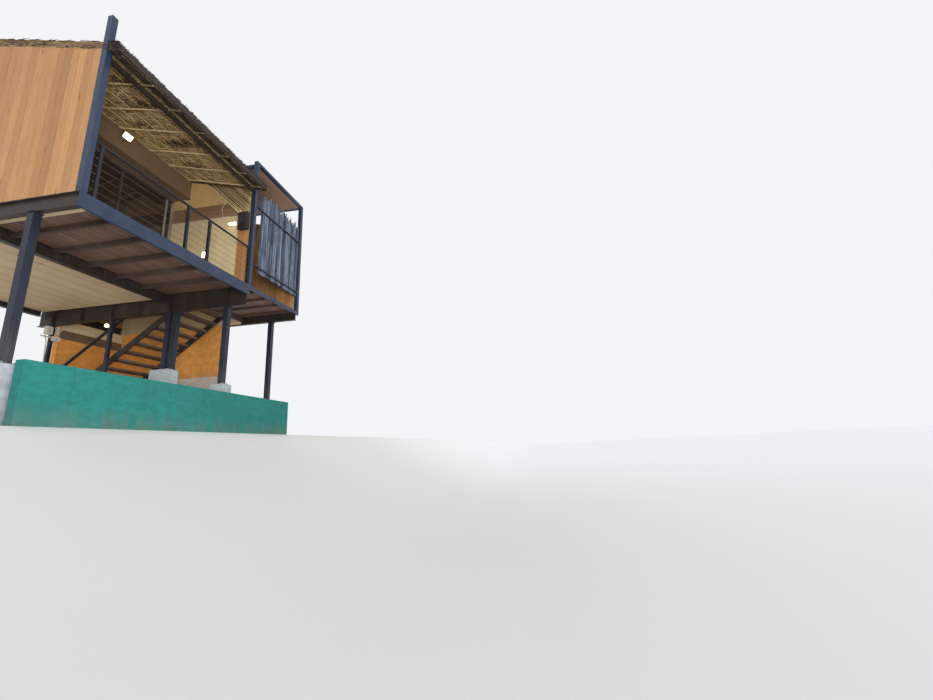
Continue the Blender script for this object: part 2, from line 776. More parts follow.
    LAMP = Glow("lamp_glass", (1.0, 0.70, 0.32), strength=6.0)
    LAMP_BODY = Paint("lamp_body", (0.060, 0.058, 0.056), rough=0.42, chips=0.03, dust=0.2)
    BOX = Paint("meter_box_coat", (0.022, 0.022, 0.024), rough=0.46, chips=0.04, dust=0.35)
    FIXING = BareMetal("fixing", (0.46, 0.45, 0.43))
    WIRE = BareMetal("rail_wire", (0.13, 0.13, 0.135), rough=0.40)


@cache
def material_of(finish: Finish) -> bpy.types.Material:
    """The finish's material, built the first time that it is asked for."""
    return finish.value.make()


# Meshes


class Lie(Enum):
    """Which way an outline is extruded; it is drawn in the other two of u, v and z."""

    ACROSS = 0
    INWARD = 1
    UPWARD = 2


# Washer, nut and end of a bolt, in radii of the washer: where each starts, its sides, and its outline
BOLT: tuple[tuple[float, int, Outline], ...] = (
    (0.0, 12, ((1.0, 0.0), (1.0, 0.18))),
    (0.18, 6, ((0.80, 0.0), (0.80, 0.70), (0.66, 0.82))),
    (1.0, 8, ((0.42, 0.0), (0.42, 0.50), (0.30, 0.60))),
)


def ringed(rings: int, size: int) -> list[tuple[int, ...]]:
    """Faces of a closed skin over rings of points.

    Args:
        rings: Number of rings.
        size: Points in each ring.

    Returns:
        The two ends, and the faces between the rings.
    """
    starts = range(0, (rings - 1) * size, size)
    sides = [(low + k, low + (k + 1) % size, low + size + (k + 1) % size, low + size + k)
             for low in starts for k in range(size)]
    return [tuple(range(size))[::-1], tuple(range((rings - 1) * size, rings * size)), *sides]


def oblong(a: Pair, b: Pair) -> list[Pair]:
    """Corners of a rectangle, from the lowest and highest value of each of its coordinates."""
    return [(a[0], b[0]), (a[1], b[0]), (a[1], b[1]), (a[0], b[1])]


class Shape:
    """Collects closed solids, in metres from the house's near front corner, as one mesh."""

    def __init__(self) -> None:
        """Starts with nothing in it."""
        self.points: list[Spot] = []
        self.faces: list[tuple[int, ...]] = []
        self.blocks: list[tuple[np.ndarray, np.ndarray, np.ndarray]] = []

    def add(self, points: Iterable[Spot], faces: Iterable[Sequence[int]]) -> None:
        """Adds one solid.

        Args:
            points: Its corners.
            faces: Its faces, as numbers of those corners.
        """
        first = len(self.points)
        self.points.extend(points)
        self.faces.extend(tuple(first + i for i in face) for face in faces)

    def extrude(self, outline: Outline, lie: Lie, low: float, high: float) -> None:
        """Adds an outline extruded along one axis.

        Args:
            outline: Corners in the two other axes.
            lie: The axis.
            low: Where it starts.
            high: Where it ends.
        """
        axis = lie.value
        points = [[*pair[:axis], depth, *pair[axis:]] for depth in (low, high) for pair in outline]
        self.add(points, ringed(2, len(outline)))

    def box(self, low: Spot, high: Spot) -> None:
        """Adds a box from its lowest to its highest corner."""
        self.extrude(oblong((low[0], high[0]), (low[1], high[1])), Lie.UPWARD, low[2], high[2])

    def tube(self, path: Sequence[Spot], radii: Sequence[float] | float, sides: int = 8) -> None:
        """Adds a round bar along a path, closed at its ends.

        Args:
            path: Points along its middle.
            radii: Radius at each point, or one for all.
            sides: Sides of its section.
        """
        spots = [Vector(p) for p in path]
        sizes = [radii] * len(spots) if isinstance(radii, (int, float)) else list(radii)
        points: list[Spot] = []
        side = None
        for i, spot in enumerate(spots):
            ahead = (spots[min(i + 1, len(spots) - 1)] - spots[max(i - 1, 0)]).normalized()
            if side is None:
                side = ahead.orthogonal().normalized()
            side = (side - ahead * side.dot(ahead)).normalized()
            other = ahead.cross(side)
            for k in range(sides):
                turn = 2 * math.pi * k / sides
                points.append(spot + (side * math.cos(turn) + other * math.sin(turn)) * sizes[i])
        self.add(points, ringed(len(spots), sides))

    def turned(self, foot: Spot, way: Spot, outline: Outline, sides: int = 16) -> None:
        """Adds a turned solid: an outline of radius and height, spun about an axis.

        Args:
            foot: Where the axis starts.
            way: The axis's direction.
            outline: Radius and height, from foot to head.
            sides: Sides of the round.
        """
        axis = Vector(way).normalized()
        path = [Vector(foot) + axis * height for _, height in outline]
        self.tube(path, [max(radius, 0.0004) for radius, _ in outline], sides)

    def bolt(self, seat: Spot, way: Spot, size: float = 0.012) -> None:
        """Adds a washer, a hexagonal nut and the bolt's end.

        Args:
            seat: Where the washer lies.
            way: Direction away from the seat.
            size: Radius of the washer.
        """
        axis = Vector(way).normalized()
        for start, sides, outline in BOLT:
            spot = Vector(seat) + axis * size * start
            self.turned(spot, axis, [(size * r, size * h) for r, h in outline], sides)

    def block(self, points: np.ndarray, faces: np.ndarray, tones: np.ndarray) -> None:
        """Adds many triangles at once, with a tone for each point."""
        self.blocks.append((points, faces, tones))

    def piece(self, name: str, finish: Finish, slot: str, replaces: Sequence[str] = (),
              bevel: float = 0.0, smooth: bool = False) -> None:
        """Turns what was collected into a piece of the house.

        Args:
            name: Name of the piece.
            finish: Its finish.
            slot: The record's slot that it belongs to.
            replaces: Nodes that it stands for.
            bevel: Width of the bevel on its sharp edges.
            smooth: True for a round piece.
        """
        mesh = bpy.data.meshes.new(name)
        mesh.from_pydata([tuple(p) for p in self.points], [], self.faces)
        if self.points:
            work = bmesh.new()
            work.from_mesh(mesh)
            bmesh.ops.recalc_face_normals(work, faces=work.faces)
            work.to_mesh(mesh)
            work.free()
        if self.blocks:
            mesh = self._with_blocks(mesh, name)
        mesh.transform(Matrix.Translation(CORNER))
        if smooth:
            mesh.shade_smooth()
        mesh.materials.append(material_of(finish))
        made = bpy.data.objects.new(name, mesh)
        bpy.context.scene.collection.objects.link(made)
        if bevel:
            soften(made, bevel)
        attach(made, "root")
        if replaces:
            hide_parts(*replaces)
        LOG.info("piece %s: %d faces", name, len(mesh.polygons))

    def _with_blocks(self, mesh: bpy.types.Mesh, name: str) -> bpy.types.Mesh:
        """The mesh with the blocks of triangles and every point's tone.

        Args:
            mesh: Mesh of the single solids.
            name: Name of the piece.

        Returns:
            The new mesh.
        """
        mesh.calc_loop_triangles()
        first = np.array([v.co for v in mesh.vertices], float).reshape(-1, 3)
        fixed = np.array([t.vertices for t in mesh.loop_triangles], int).reshape(-1, 3)
        points, faces, tones = [first], [fixed], [np.full(len(first), 0.35)]
        total = len(first)
        for block_points, block_faces, block_tones in self.blocks:
            points.append(block_points)
            faces.append(block_faces + total)
            tones.append(block_tones)
            total += len(block_points)
        corners = np.concatenate(faces)
        new = bpy.data.meshes.new(name + "_mesh")
        new.vertices.add(total)
        new.vertices.foreach_set("co", np.concatenate(points).astype(np.float32).ravel())
        new.loops.add(corners.size)
        new.loops.foreach_set("vertex_index", corners.astype(np.int32).ravel())
        new.polygons.add(len(corners))
        new.polygons.foreach_set("loop_start", np.arange(0, corners.size, 3, dtype=np.int32))
        attribute = new.attributes.new("tone", "FLOAT", "POINT")
        attribute.data.foreach_set("value", np.concatenate(tones).astype(np.float32))
        new.update(calc_edges=True)
        return new


def soften(thing: bpy.types.Object, width: float) -> None:
    """Rounds a piece's sharp edges a little, as paint, a saw or wear does.

    Args:
        thing: The piece.
        width: Width of the rounding.
    """
    weld = thing.modifiers.new("weld", "WELD")
    weld.merge_threshold = 0.0001
    bevel = thing.modifiers.new("edge", "BEVEL")
    bevel.width = width
    bevel.segments = 2
    bevel.limit_method = "ANGLE"
    bevel.angle_limit = math.radians(38)
    bevel.harden_normals = False


def dress(node: str, finish: Finish, bevel: float = 0.0) -> None:
    """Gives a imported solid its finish.

    Args:
        node: Name of the node.
        finish: The finish.
        bevel: Width of the rounding on its edges.
    """
    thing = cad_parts[node]
    if not thing.material_slots:
        thing.data.materials.append(material_of(finish))
    for slot in thing.material_slots:
        slot.material = material_of(finish)
    if bevel:
        soften(thing, bevel)
    LOG.info("node %s: %s", node, finish.value.name)


def clipped(outline: Outline, axis: int, low: float, high: float) -> list[Pair]:
    """The part of a convex or simple outline between two values of one coordinate.

    Args:
        outline: Corners.
        axis: 0 or 1, the coordinate.
        low: Lowest value kept.
        high: Highest value kept.

    Returns:
        The corners of what is left.
    """
    kept = list(outline)
    for limit, sign in ((low, 1.0), (high, -1.0)):
        result: list[Pair] = []
        for i, corner in enumerate(kept):
            before = kept[i - 1]
            inside = sign * (corner[axis] - limit) >= 0
            was_inside = sign * (before[axis] - limit) >= 0
            if inside != was_inside:
                share = (limit - before[axis]) / (corner[axis] - before[axis])
                result.append(tuple(before[k] + share * (corner[k] - before[k]) for k in range(2)))
            if inside:
                result.append(corner)
        kept = result
    return kept


@dataclass
class BoardWall:
    """A wall of upright or level boards with open joints over a dark core.

    Attributes:
        lie: Axis of the wall's thickness.
        low: Where its thickness starts.
        high: Where its thickness ends.
        width: Width of a board.
        joint: Width of a joint.
        upright: True for boards that run up.
        lap: How far the boards' faces differ in depth.
        core: How deep the core lies behind the boards' faces.
    """

    lie: Lie
    low: float
    high: float
    width: float = 0.145
    joint: float = 0.005
    upright: bool = True
    lap: float = 0.003
    core: float = 0.010

    def cover(self, shape: Shape, outline: Outline, draw: random.Random) -> None:
        """Fills an outline with boards.

        Args:
            shape: Where the boards go.
            outline: Corners of the wall's face.
            draw: Source of chance.
        """
        axis = 0 if self.upright else 1
        values = [corner[axis] for corner in outline]
        start, length = min(values), max(values) - min(values)
        count = max(1, round(length / self.width))
        pitch = length / count
        for i in range(count):
            edge = start + i * pitch
            strip = clipped(outline, axis, edge + self.joint / 2, edge + pitch - self.joint / 2)
            if len(strip) < 3:
                continue
            shape.extrude(strip, self.lie, self.low + draw.uniform(0, self.lap),
                          self.high - draw.uniform(0, self.lap))
        shape.extrude(outline, self.lie, self.low + self.core, self.high - self.core)


@dataclass(frozen=True)
class Plan:
    """Sizes that the sub-assemblies share, in metres from the near front corner, as in the solids."""

    unit_w: float = 6.0
    bay_w: float = 3.87
    house_d: float = 6.0
    balcony_d: float = 2.35
    landing_d: float = 1.76
    bulkhead_v: float = 1.90
    wall_t: float = 0.1
    post_s: float = 0.1
    deck_z: float = 3.55
    rim_z: float = 3.30
    girder_z: float = 3.03
    outer_foot_z: float = 0.90
    front_foot_z: float = 1.13
    inner_foot_z: float = 1.59
    flat_roof_z: float = 6.96
    flat_frame_h: float = 0.07
    eave_z: float = 6.17
    slope: float = 0.256
    overhang: float = 0.26
    thatch_t: float = 0.165
    straw_top_z: float = 7.235
    straw_out: float = 0.075
    saddle_half: float = 0.38
    rafter_d: float = 0.035
    batten_t: float = 0.020
    bulkhead_z: float = 6.16
    pale_h: float = 1.93
    band_h: float = 0.40
    end_boards_w: float = 0.33
    door_off: float = 0.35
    door_w: float = 0.90

    @property
    def bay_u1(self) -> float:
        """Inner face of the wall between the bays."""
        return self.bay_w - self.wall_t / 2

    @property
    def hall_u0(self) -> float:
        """Face of that wall in the stair hall."""
        return self.bay_w + self.wall_t / 2

    @property
    def hall_u1(self) -> float:
        """Inner face of the far party wall."""
        return self.unit_w - self.wall_t / 2

    @property
    def boards_v1(self) -> float:
        """End of the upright boards beside the front post."""
        return self.post_s + self.end_boards_w

    @property
    def door_v0(self) -> float:
        """Front edge of the plank door."""
        return self.boards_v1 + self.door_off

    @property
    def pale_z(self) -> float:
        """Top of the pale planks of the balcony's end wall."""
        return self.deck_z + self.pale_h

    @property
    def band_z(self) -> float:
        """Top of the brown band over them."""
        return self.pale_z + self.band_h

    def rafter_under(self, v: Depth) -> Depth:
        """Underside of the rafters at depth v."""
        return self.eave_z + self.slope * (np.minimum(v, self.house_d - v) - 0.02)

    def batten_under(self, v: Depth) -> Depth:
        """Underside of the battens at depth v."""
        return self.rafter_under(v) + self.rafter_d / math.cos(math.atan(self.slope))

    def thatch_under(self, v: Depth) -> Depth:
        """Underside of the thatch at depth v."""
        return self.batten_under(v) + self.batten_t / math.cos(math.atan(self.slope))

    def thatch_top(self, v: Depth) -> Depth:
        """Top of the thatch at depth v."""
        return self.thatch_under(v) + self.thatch_t

    def on_slope(self, v: float, back: bool) -> float:
        """Depth v of the front slope, or the depth across the ridge from it."""
        return self.house_d - v if back else v


PLAN = Plan()


# Sub-assemblies


@dataclass
class GroundWorks:
    """Green wall along the bank, pedestals, stair footing, and the cross wall with its return."""

    bevel: float = 0.006
    return_v: float = 5.72
    return_u: Pair = (4.17, 5.84)
    beam_z: Pair = (2.78, 3.02)
    pale_z: Pair = (3.02, 3.29)
    board_w: float = 0.13
    board_t: float = 0.026
    lath_h: float = 0.022

    def build(self) -> None:
        """Dresses the masonry and adds the boards across the return wall."""
        dress("plinth_wall", Finish.GREEN_WALL, self.bevel)
        dress("footings", Finish.CONCRETE, self.bevel)
        dress("ground_wall_base", Finish.PALE_RENDER)
        dress("ground_wall", Finish.TERRACOTTA)
        beam, pale, face = Shape(), Shape(), self.return_v - self.board_t
        boards = BoardWall(Lie.INWARD, face, self.return_v, self.board_w, 0.004, False)
        for shape, heights in ((beam, self.beam_z), (pale, self.pale_z)):
            boards.cover(shape, oblong(self.return_u, heights), random.Random(10))
        beam.piece("return_beam", Finish.DARK_BOARD, "dark_board")
        pale.box((self.return_u[0], face - 0.008, self.pale_z[0]),
                 (self.return_u[1], face + 0.002, self.pale_z[0] + self.lath_h))
        pale.piece("return_boards", Finish.PALE_PLANK, "pale_plank", bevel=0.002)


@dataclass(frozen=True)
class Stilt:
    """One square stilt, in metres from the near front corner.

    Attributes:
        u: Place along the front.
        v: Depth.
        foot: Top of its pedestal.
        head: Underside of what it carries.
        side: Side of its section.
        bolts: Depths of its bolts from its middle.
    """

    u: float
    v: float
    foot: float
    head: float
    side: float = 0.12
    bolts: tuple[float, ...] = (-0.076, 0.076)


@dataclass
class Stilts:
    """Painted square stilts with base plates, anchor bolts, cap plates and welded gussets."""

    outer_v: Pair = (0.83, 5.57)
    inner_v: tuple[float, ...] = (0.55, 1.94, 2.12, 3.79)
    slim: float = 0.075
    plate_t: float = 0.015
    bolt_u: float = 0.0765
    bolt_r: float = 0.012
    gusset: Pair = (0.028, 0.07)
    gusset_t: float = 0.010
    cap_t: float = 0.012
    cap_out: Pair = (0.02, 0.01)

    def stilts(self) -> list[Stilt]:
        """Lists the stilts; the twins share one base plate, so each holds bolts on one side.

        Returns:
            Every stilt.
        """
        p, (front, back), (lone, near, far, lamp) = PLAN, self.outer_v, self.inner_v
        low, high = p.inner_foot_z, p.girder_z
        outer = [Stilt(u, v, foot, p.rim_z)
                 for v, foot in ((front, p.outer_foot_z), (back, low)) for u in (0.0, p.unit_w)]
        inner = [Stilt(p.bay_w, lone, p.front_foot_z, high),
                 Stilt(p.bay_w, near, low, high, bolts=(-0.03,)),
                 Stilt(p.bay_w, far, low, high, bolts=(0.03,))]
        slim = [Stilt(p.bay_w, v, low, high, self.slim) for v in (lamp, back)]
        return [*outer, *inner, *slim]

    def build(self) -> None:
        """Dresses the stilts and adds their plates and bolts."""
        dress("front_stilts", Finish.STILT_STEEL, 0.004)
        dress("inner_stilts", Finish.STILT_STEEL, 0.004)
        bolts, plates = Shape(), Shape()
        (wide, high), (out_u, out_v), half_t = self.gusset, self.cap_out, self.gusset_t / 2
        for stilt in self.stilts():
            half, foot = stilt.side / 2, stilt.foot + self.plate_t
            for side in (-1, 1):
                for shift in stilt.bolts:
                    seat = (stilt.u + side * self.bolt_u, stilt.v + shift, foot)
                    bolts.bolt(seat, (0, 0, 1), self.bolt_r)
                edge = stilt.u + side * half
                gusset = [(edge, foot), (edge + side * wide, foot), (edge, foot + high)]
                plates.extrude(gusset, Lie.INWARD, stilt.v - half_t, stilt.v + half_t)
            plates.box((stilt.u - half - out_u, stilt.v - half - out_v, stilt.head - self.cap_t),
                       (stilt.u + half + out_u, stilt.v + half + out_v, stilt.head))
        bolts.piece("anchor_bolts", Finish.FIXING, "dark_steel")
        plates.piece("stilt_plates", Finish.STILT_STEEL, "dark_steel", bevel=0.0015)


@dataclass
class DeckFrame:
    """Fascia, edge channel, rim beams, girders and joists, with bolted plates and stiffeners.

    Attributes:
        girder_w: Width of the cross girder.
        flange: Thickness of its flanges.
        stiffened: Depths of its stiffeners.
        plate_t: Thickness of a stiffener, and of the web.
        cleats: Where the balcony's joists meet the webs, and which way the cleat lies from there.
        cleat_u: Its faces, from the joist's middle.
        cleat_d: Its length inwards.
        cleat_z: Its foot and head.
        cleat_bolts: Heights of its bolts.
        splice_u: How far the splice's bolts lie before the line between the bays.
        splice_z: Their heights.
        lining: Thickness, foot and head of each board by the stair opening, and of the lath on top.
        batten: Extent of the batten along the front, inwards and up.
        screws: Number of its screws in each of two rows.
        screw_pitch: Distance between two of them.
    """

    girder_w: float = 0.12
    flange: float = 0.014
    stiffened: tuple[float, ...] = (0.55, 1.94, 2.12, 3.0, 3.79, 4.7, 5.57)
    plate_t: float = 0.010
    cleats: tuple[tuple[float, int], ...] = ((0.06, 1), (2.284, -1))
    cleat_u: Pair = (0.025, 0.031)
    cleat_d: float = 0.05
    cleat_z: Pair = (3.43, 3.512)
    cleat_bolts: Pair = (3.45, 3.49)
    splice_u: Pair = (0.09, 0.03)
    splice_z: tuple[float, ...] = (3.35, 3.42, 3.50)
    lining: tuple[Spot, ...] = ((0.016, 3.320, 3.408), (0.016, 3.414, 3.502), (0.024, 3.512, 3.546))
    batten: tuple[Pair, Pair, Pair] = ((0.290, 0.380), (0.075, 2.265), (3.502, 3.5275))
    screws: int = 16
    screw_pitch: float = 0.1415

    def build(self) -> None:
        """Dresses the steel and adds what holds it together."""
        for node in ("rim_beams", "cross_girder", "long_girders"):
            dress(node, Finish.GIRDER_STEEL, 0.002)
        for node in ("front_fascia", "edge_channel"):
            dress(node, Finish.FASCIA_STEEL, 0.003)
        for node in ("deck_joists", "stair_trimmer"):
            dress(node, Finish.JOIST, 0.003)
        self._stiffeners()
        self._cleats()
        self._edge_lining()
        self._batten()

    def _stiffeners(self) -> None:
        """Welded plates in the web of the cross girder over each stilt."""
        shape, half = Shape(), self.plate_t / 2
        low, high = PLAN.girder_z + self.flange, PLAN.deck_z - self.flange
        reaches = (half, self.girder_w / 2 - 0.004)
        for v in self.stiffened:
            for sign in (-1, 1):
                inner, outer = sorted(PLAN.bay_w + sign * reach for reach in reaches)
                shape.box((inner, v - half, low), (outer, v + half, high))
        shape.piece("girder_stiffeners", Finish.GIRDER_STEEL, "dark_steel")

    def _cleats(self) -> None:
        """Bolted angle cleats where the joists meet the webs, and the fascia's splice."""
        plates, bolts = Shape(), Shape()
        for u in joist_lines():
            for v, sign in self.cleats:
                low, high = sorted((v, v + sign * self.cleat_d))
                near, far = (u + reach for reach in self.cleat_u)
                plates.box((near, low, self.cleat_z[0]), (far, high, self.cleat_z[1]))
                for z in self.cleat_bolts:
                    bolts.bolt((far, (low + high) / 2, z), (1, 0, 0), 0.009)
        for before in self.splice_u:
            for z in self.splice_z:
                bolts.bolt((PLAN.bay_w - before, 0.0035, z), (0, -1, 0), 0.0085)
        plates.piece("joist_cleats", Finish.GIRDER_STEEL, "dark_steel")
        bolts.piece("frame_bolts", Finish.FIXING, "dark_steel")

    def _edge_lining(self) -> None:
        """Pale board along the far rim beam in the stair opening, with a lath along its top."""
        shape = Shape()
        v0, v1, wall = PLAN.landing_d + 0.02, PLAN.house_d - 0.14, PLAN.hall_u1
        for thick, low, high in self.lining:
            shape.box((wall - thick, v0, low), (wall, v1, high))
        shape.piece("edge_lining", Finish.PALE_PLANK, "pale_plank", bevel=0.002)

    def _batten(self) -> None:
        """Pale batten screwed under the balcony's planks beside the near rim beam."""
        shape, screws = Shape(), Shape()
        (u0, u1), (v0, v1), (z0, z1) = self.batten
        shape.box((u0, v0, z0), (u1, v1, z1))
        for k in range(self.screws):
            for u in (u0 + 0.02, u1 - 0.02):
                screws.bolt((u, v0 + 0.03 + self.screw_pitch * k, z0), (0, 0, -1), 0.005)
        shape.piece("deck_batten", Finish.CREAM_BATTEN, "pale_plank", bevel=0.002)
        screws.piece("batten_screws", Finish.FIXING, "dark_steel")


def joist_lines() -> list[float]:
    """Middles of the balcony's joists along the front."""
    first, last, gaps = 0.05, PLAN.bay_w - 0.06, 6
    return [first + i * (last - first) / gaps for i in range(1, gaps)]


@dataclass
class Decking:
    """Deck planks, room floor and cream soffit, with the planks' screws."""

    screw_r: float = 0.005
    screw_in: Pair = (0.03, 0.036)
    start: float = 0.06
    joint: float = 0.006
    landing_joists: tuple[float, ...] = (4.1825, 4.6875, 5.1925, 5.6975)
    balcony: tuple[float, int] = (2.23, 15)
    landing: tuple[float, int] = (PLAN.landing_d - 0.05, 12)

    def build(self) -> None:
        """Dresses the floors and adds their screws."""
        dress("deck_planks", Finish.DECK, 0.003)
        dress("room_floor", Finish.FLOOR)
        dress("floor_soffit", Finish.SOFFIT)
        screws = Shape()
        head = [(self.screw_r, 0), (self.screw_r, 0.0026), (self.screw_r * 0.6, 0.0034)]
        floors = ((joist_lines(), self.balcony), (self.landing_joists, self.landing))
        for joists, (end, planks) in floors:
            pitch = (end - self.start + self.joint) / planks
            for u in joists:
                for k in range(planks):
                    for side in (self.screw_in[0], pitch - self.screw_in[1]):
                        seat = (u, self.start + k * pitch + side, PLAN.deck_z - 0.002)
                        screws.turned(seat, (0, 0, 1), head, 8)
        screws.piece("plank_screws", Finish.FIXING, "deck_plank")


@dataclass
class Stair:
    """Open flight: stringers, treads on angle cleats, nosing strips, bolts and the prop's plate."""

    risers: int = 14
    going: float = 0.265
    foot_z: float = 0.90
    tread_d: float = 0.27
    tread_t: float = 0.045
    low_u: float = 4.00
    high_u: float = 5.25
    prop_u: Pair = (3.935, 3.999)
    prop_v: Pair = (2.240, 2.330)
    prop_t: float = 0.008
    angle: Pair = (0.045, 0.046)
    angle_t: float = 0.006
    inset: float = 0.035
    bolt_drop: float = 0.028
    bolt_places: Pair = (0.3, 0.7)

    def treads(self) -> list[Pair]:
        """Places the treads, from the lowest up.

        Returns:
            Depth of each tread's edge nearer the front, and height of its underside.
        """
        rise = (PLAN.deck_z - self.foot_z) / self.risers
        foot_v = PLAN.landing_d + (self.risers - 1) * self.going
        return [(foot_v - (k - 1) * self.going - self.tread_d, self.foot_z + k * rise - self.tread_t)
                for k in range(1, self.risers)]

    def build(self) -> None:
        """Dresses the flight and adds what fixes it."""
        dress("stair_stringers", Finish.GIRDER_STEEL, 0.004)
        dress("stair_treads", Finish.TREAD, 0.005)
        cleats, strips, bolts = Shape(), Shape(), Shape()
        (wide, deep), thick, foot = self.angle, self.angle_t, PLAN.inner_foot_z
        for v, z in self.treads():
            edge, top = v + self.tread_d, z + self.tread_t
            for u, sign in ((self.low_u, 1), (self.high_u, -1)):
                for reach, low, high in ((wide, z - thick, z), (thick, z - deep, z - thick)):
                    a, b = sorted((u, u + sign * reach))
                    cleats.box((a, v + self.inset, low), (b, edge - self.inset, high))
                for share in self.bolt_places:
                    seat = (u + sign * thick, v + self.tread_d * share, z - self.bolt_drop)
                    bolts.bolt(seat, (sign, 0, 0), 0.008)
            strips.box((self.low_u + 0.03, edge - 0.035, top - 0.001),
                       (self.high_u - 0.03, edge - 0.003, top + 0.003))
        cleats.box((self.prop_u[0], self.prop_v[0], foot),
                   (self.prop_u[1], self.prop_v[1], foot + self.prop_t))
        cleats.piece("tread_cleats", Finish.GIRDER_STEEL, "dark_steel")
        strips.piece("tread_nosings", Finish.RAIL_STEEL, "dark_steel")
        bolts.piece("stair_bolts", Finish.FIXING, "dark_steel")


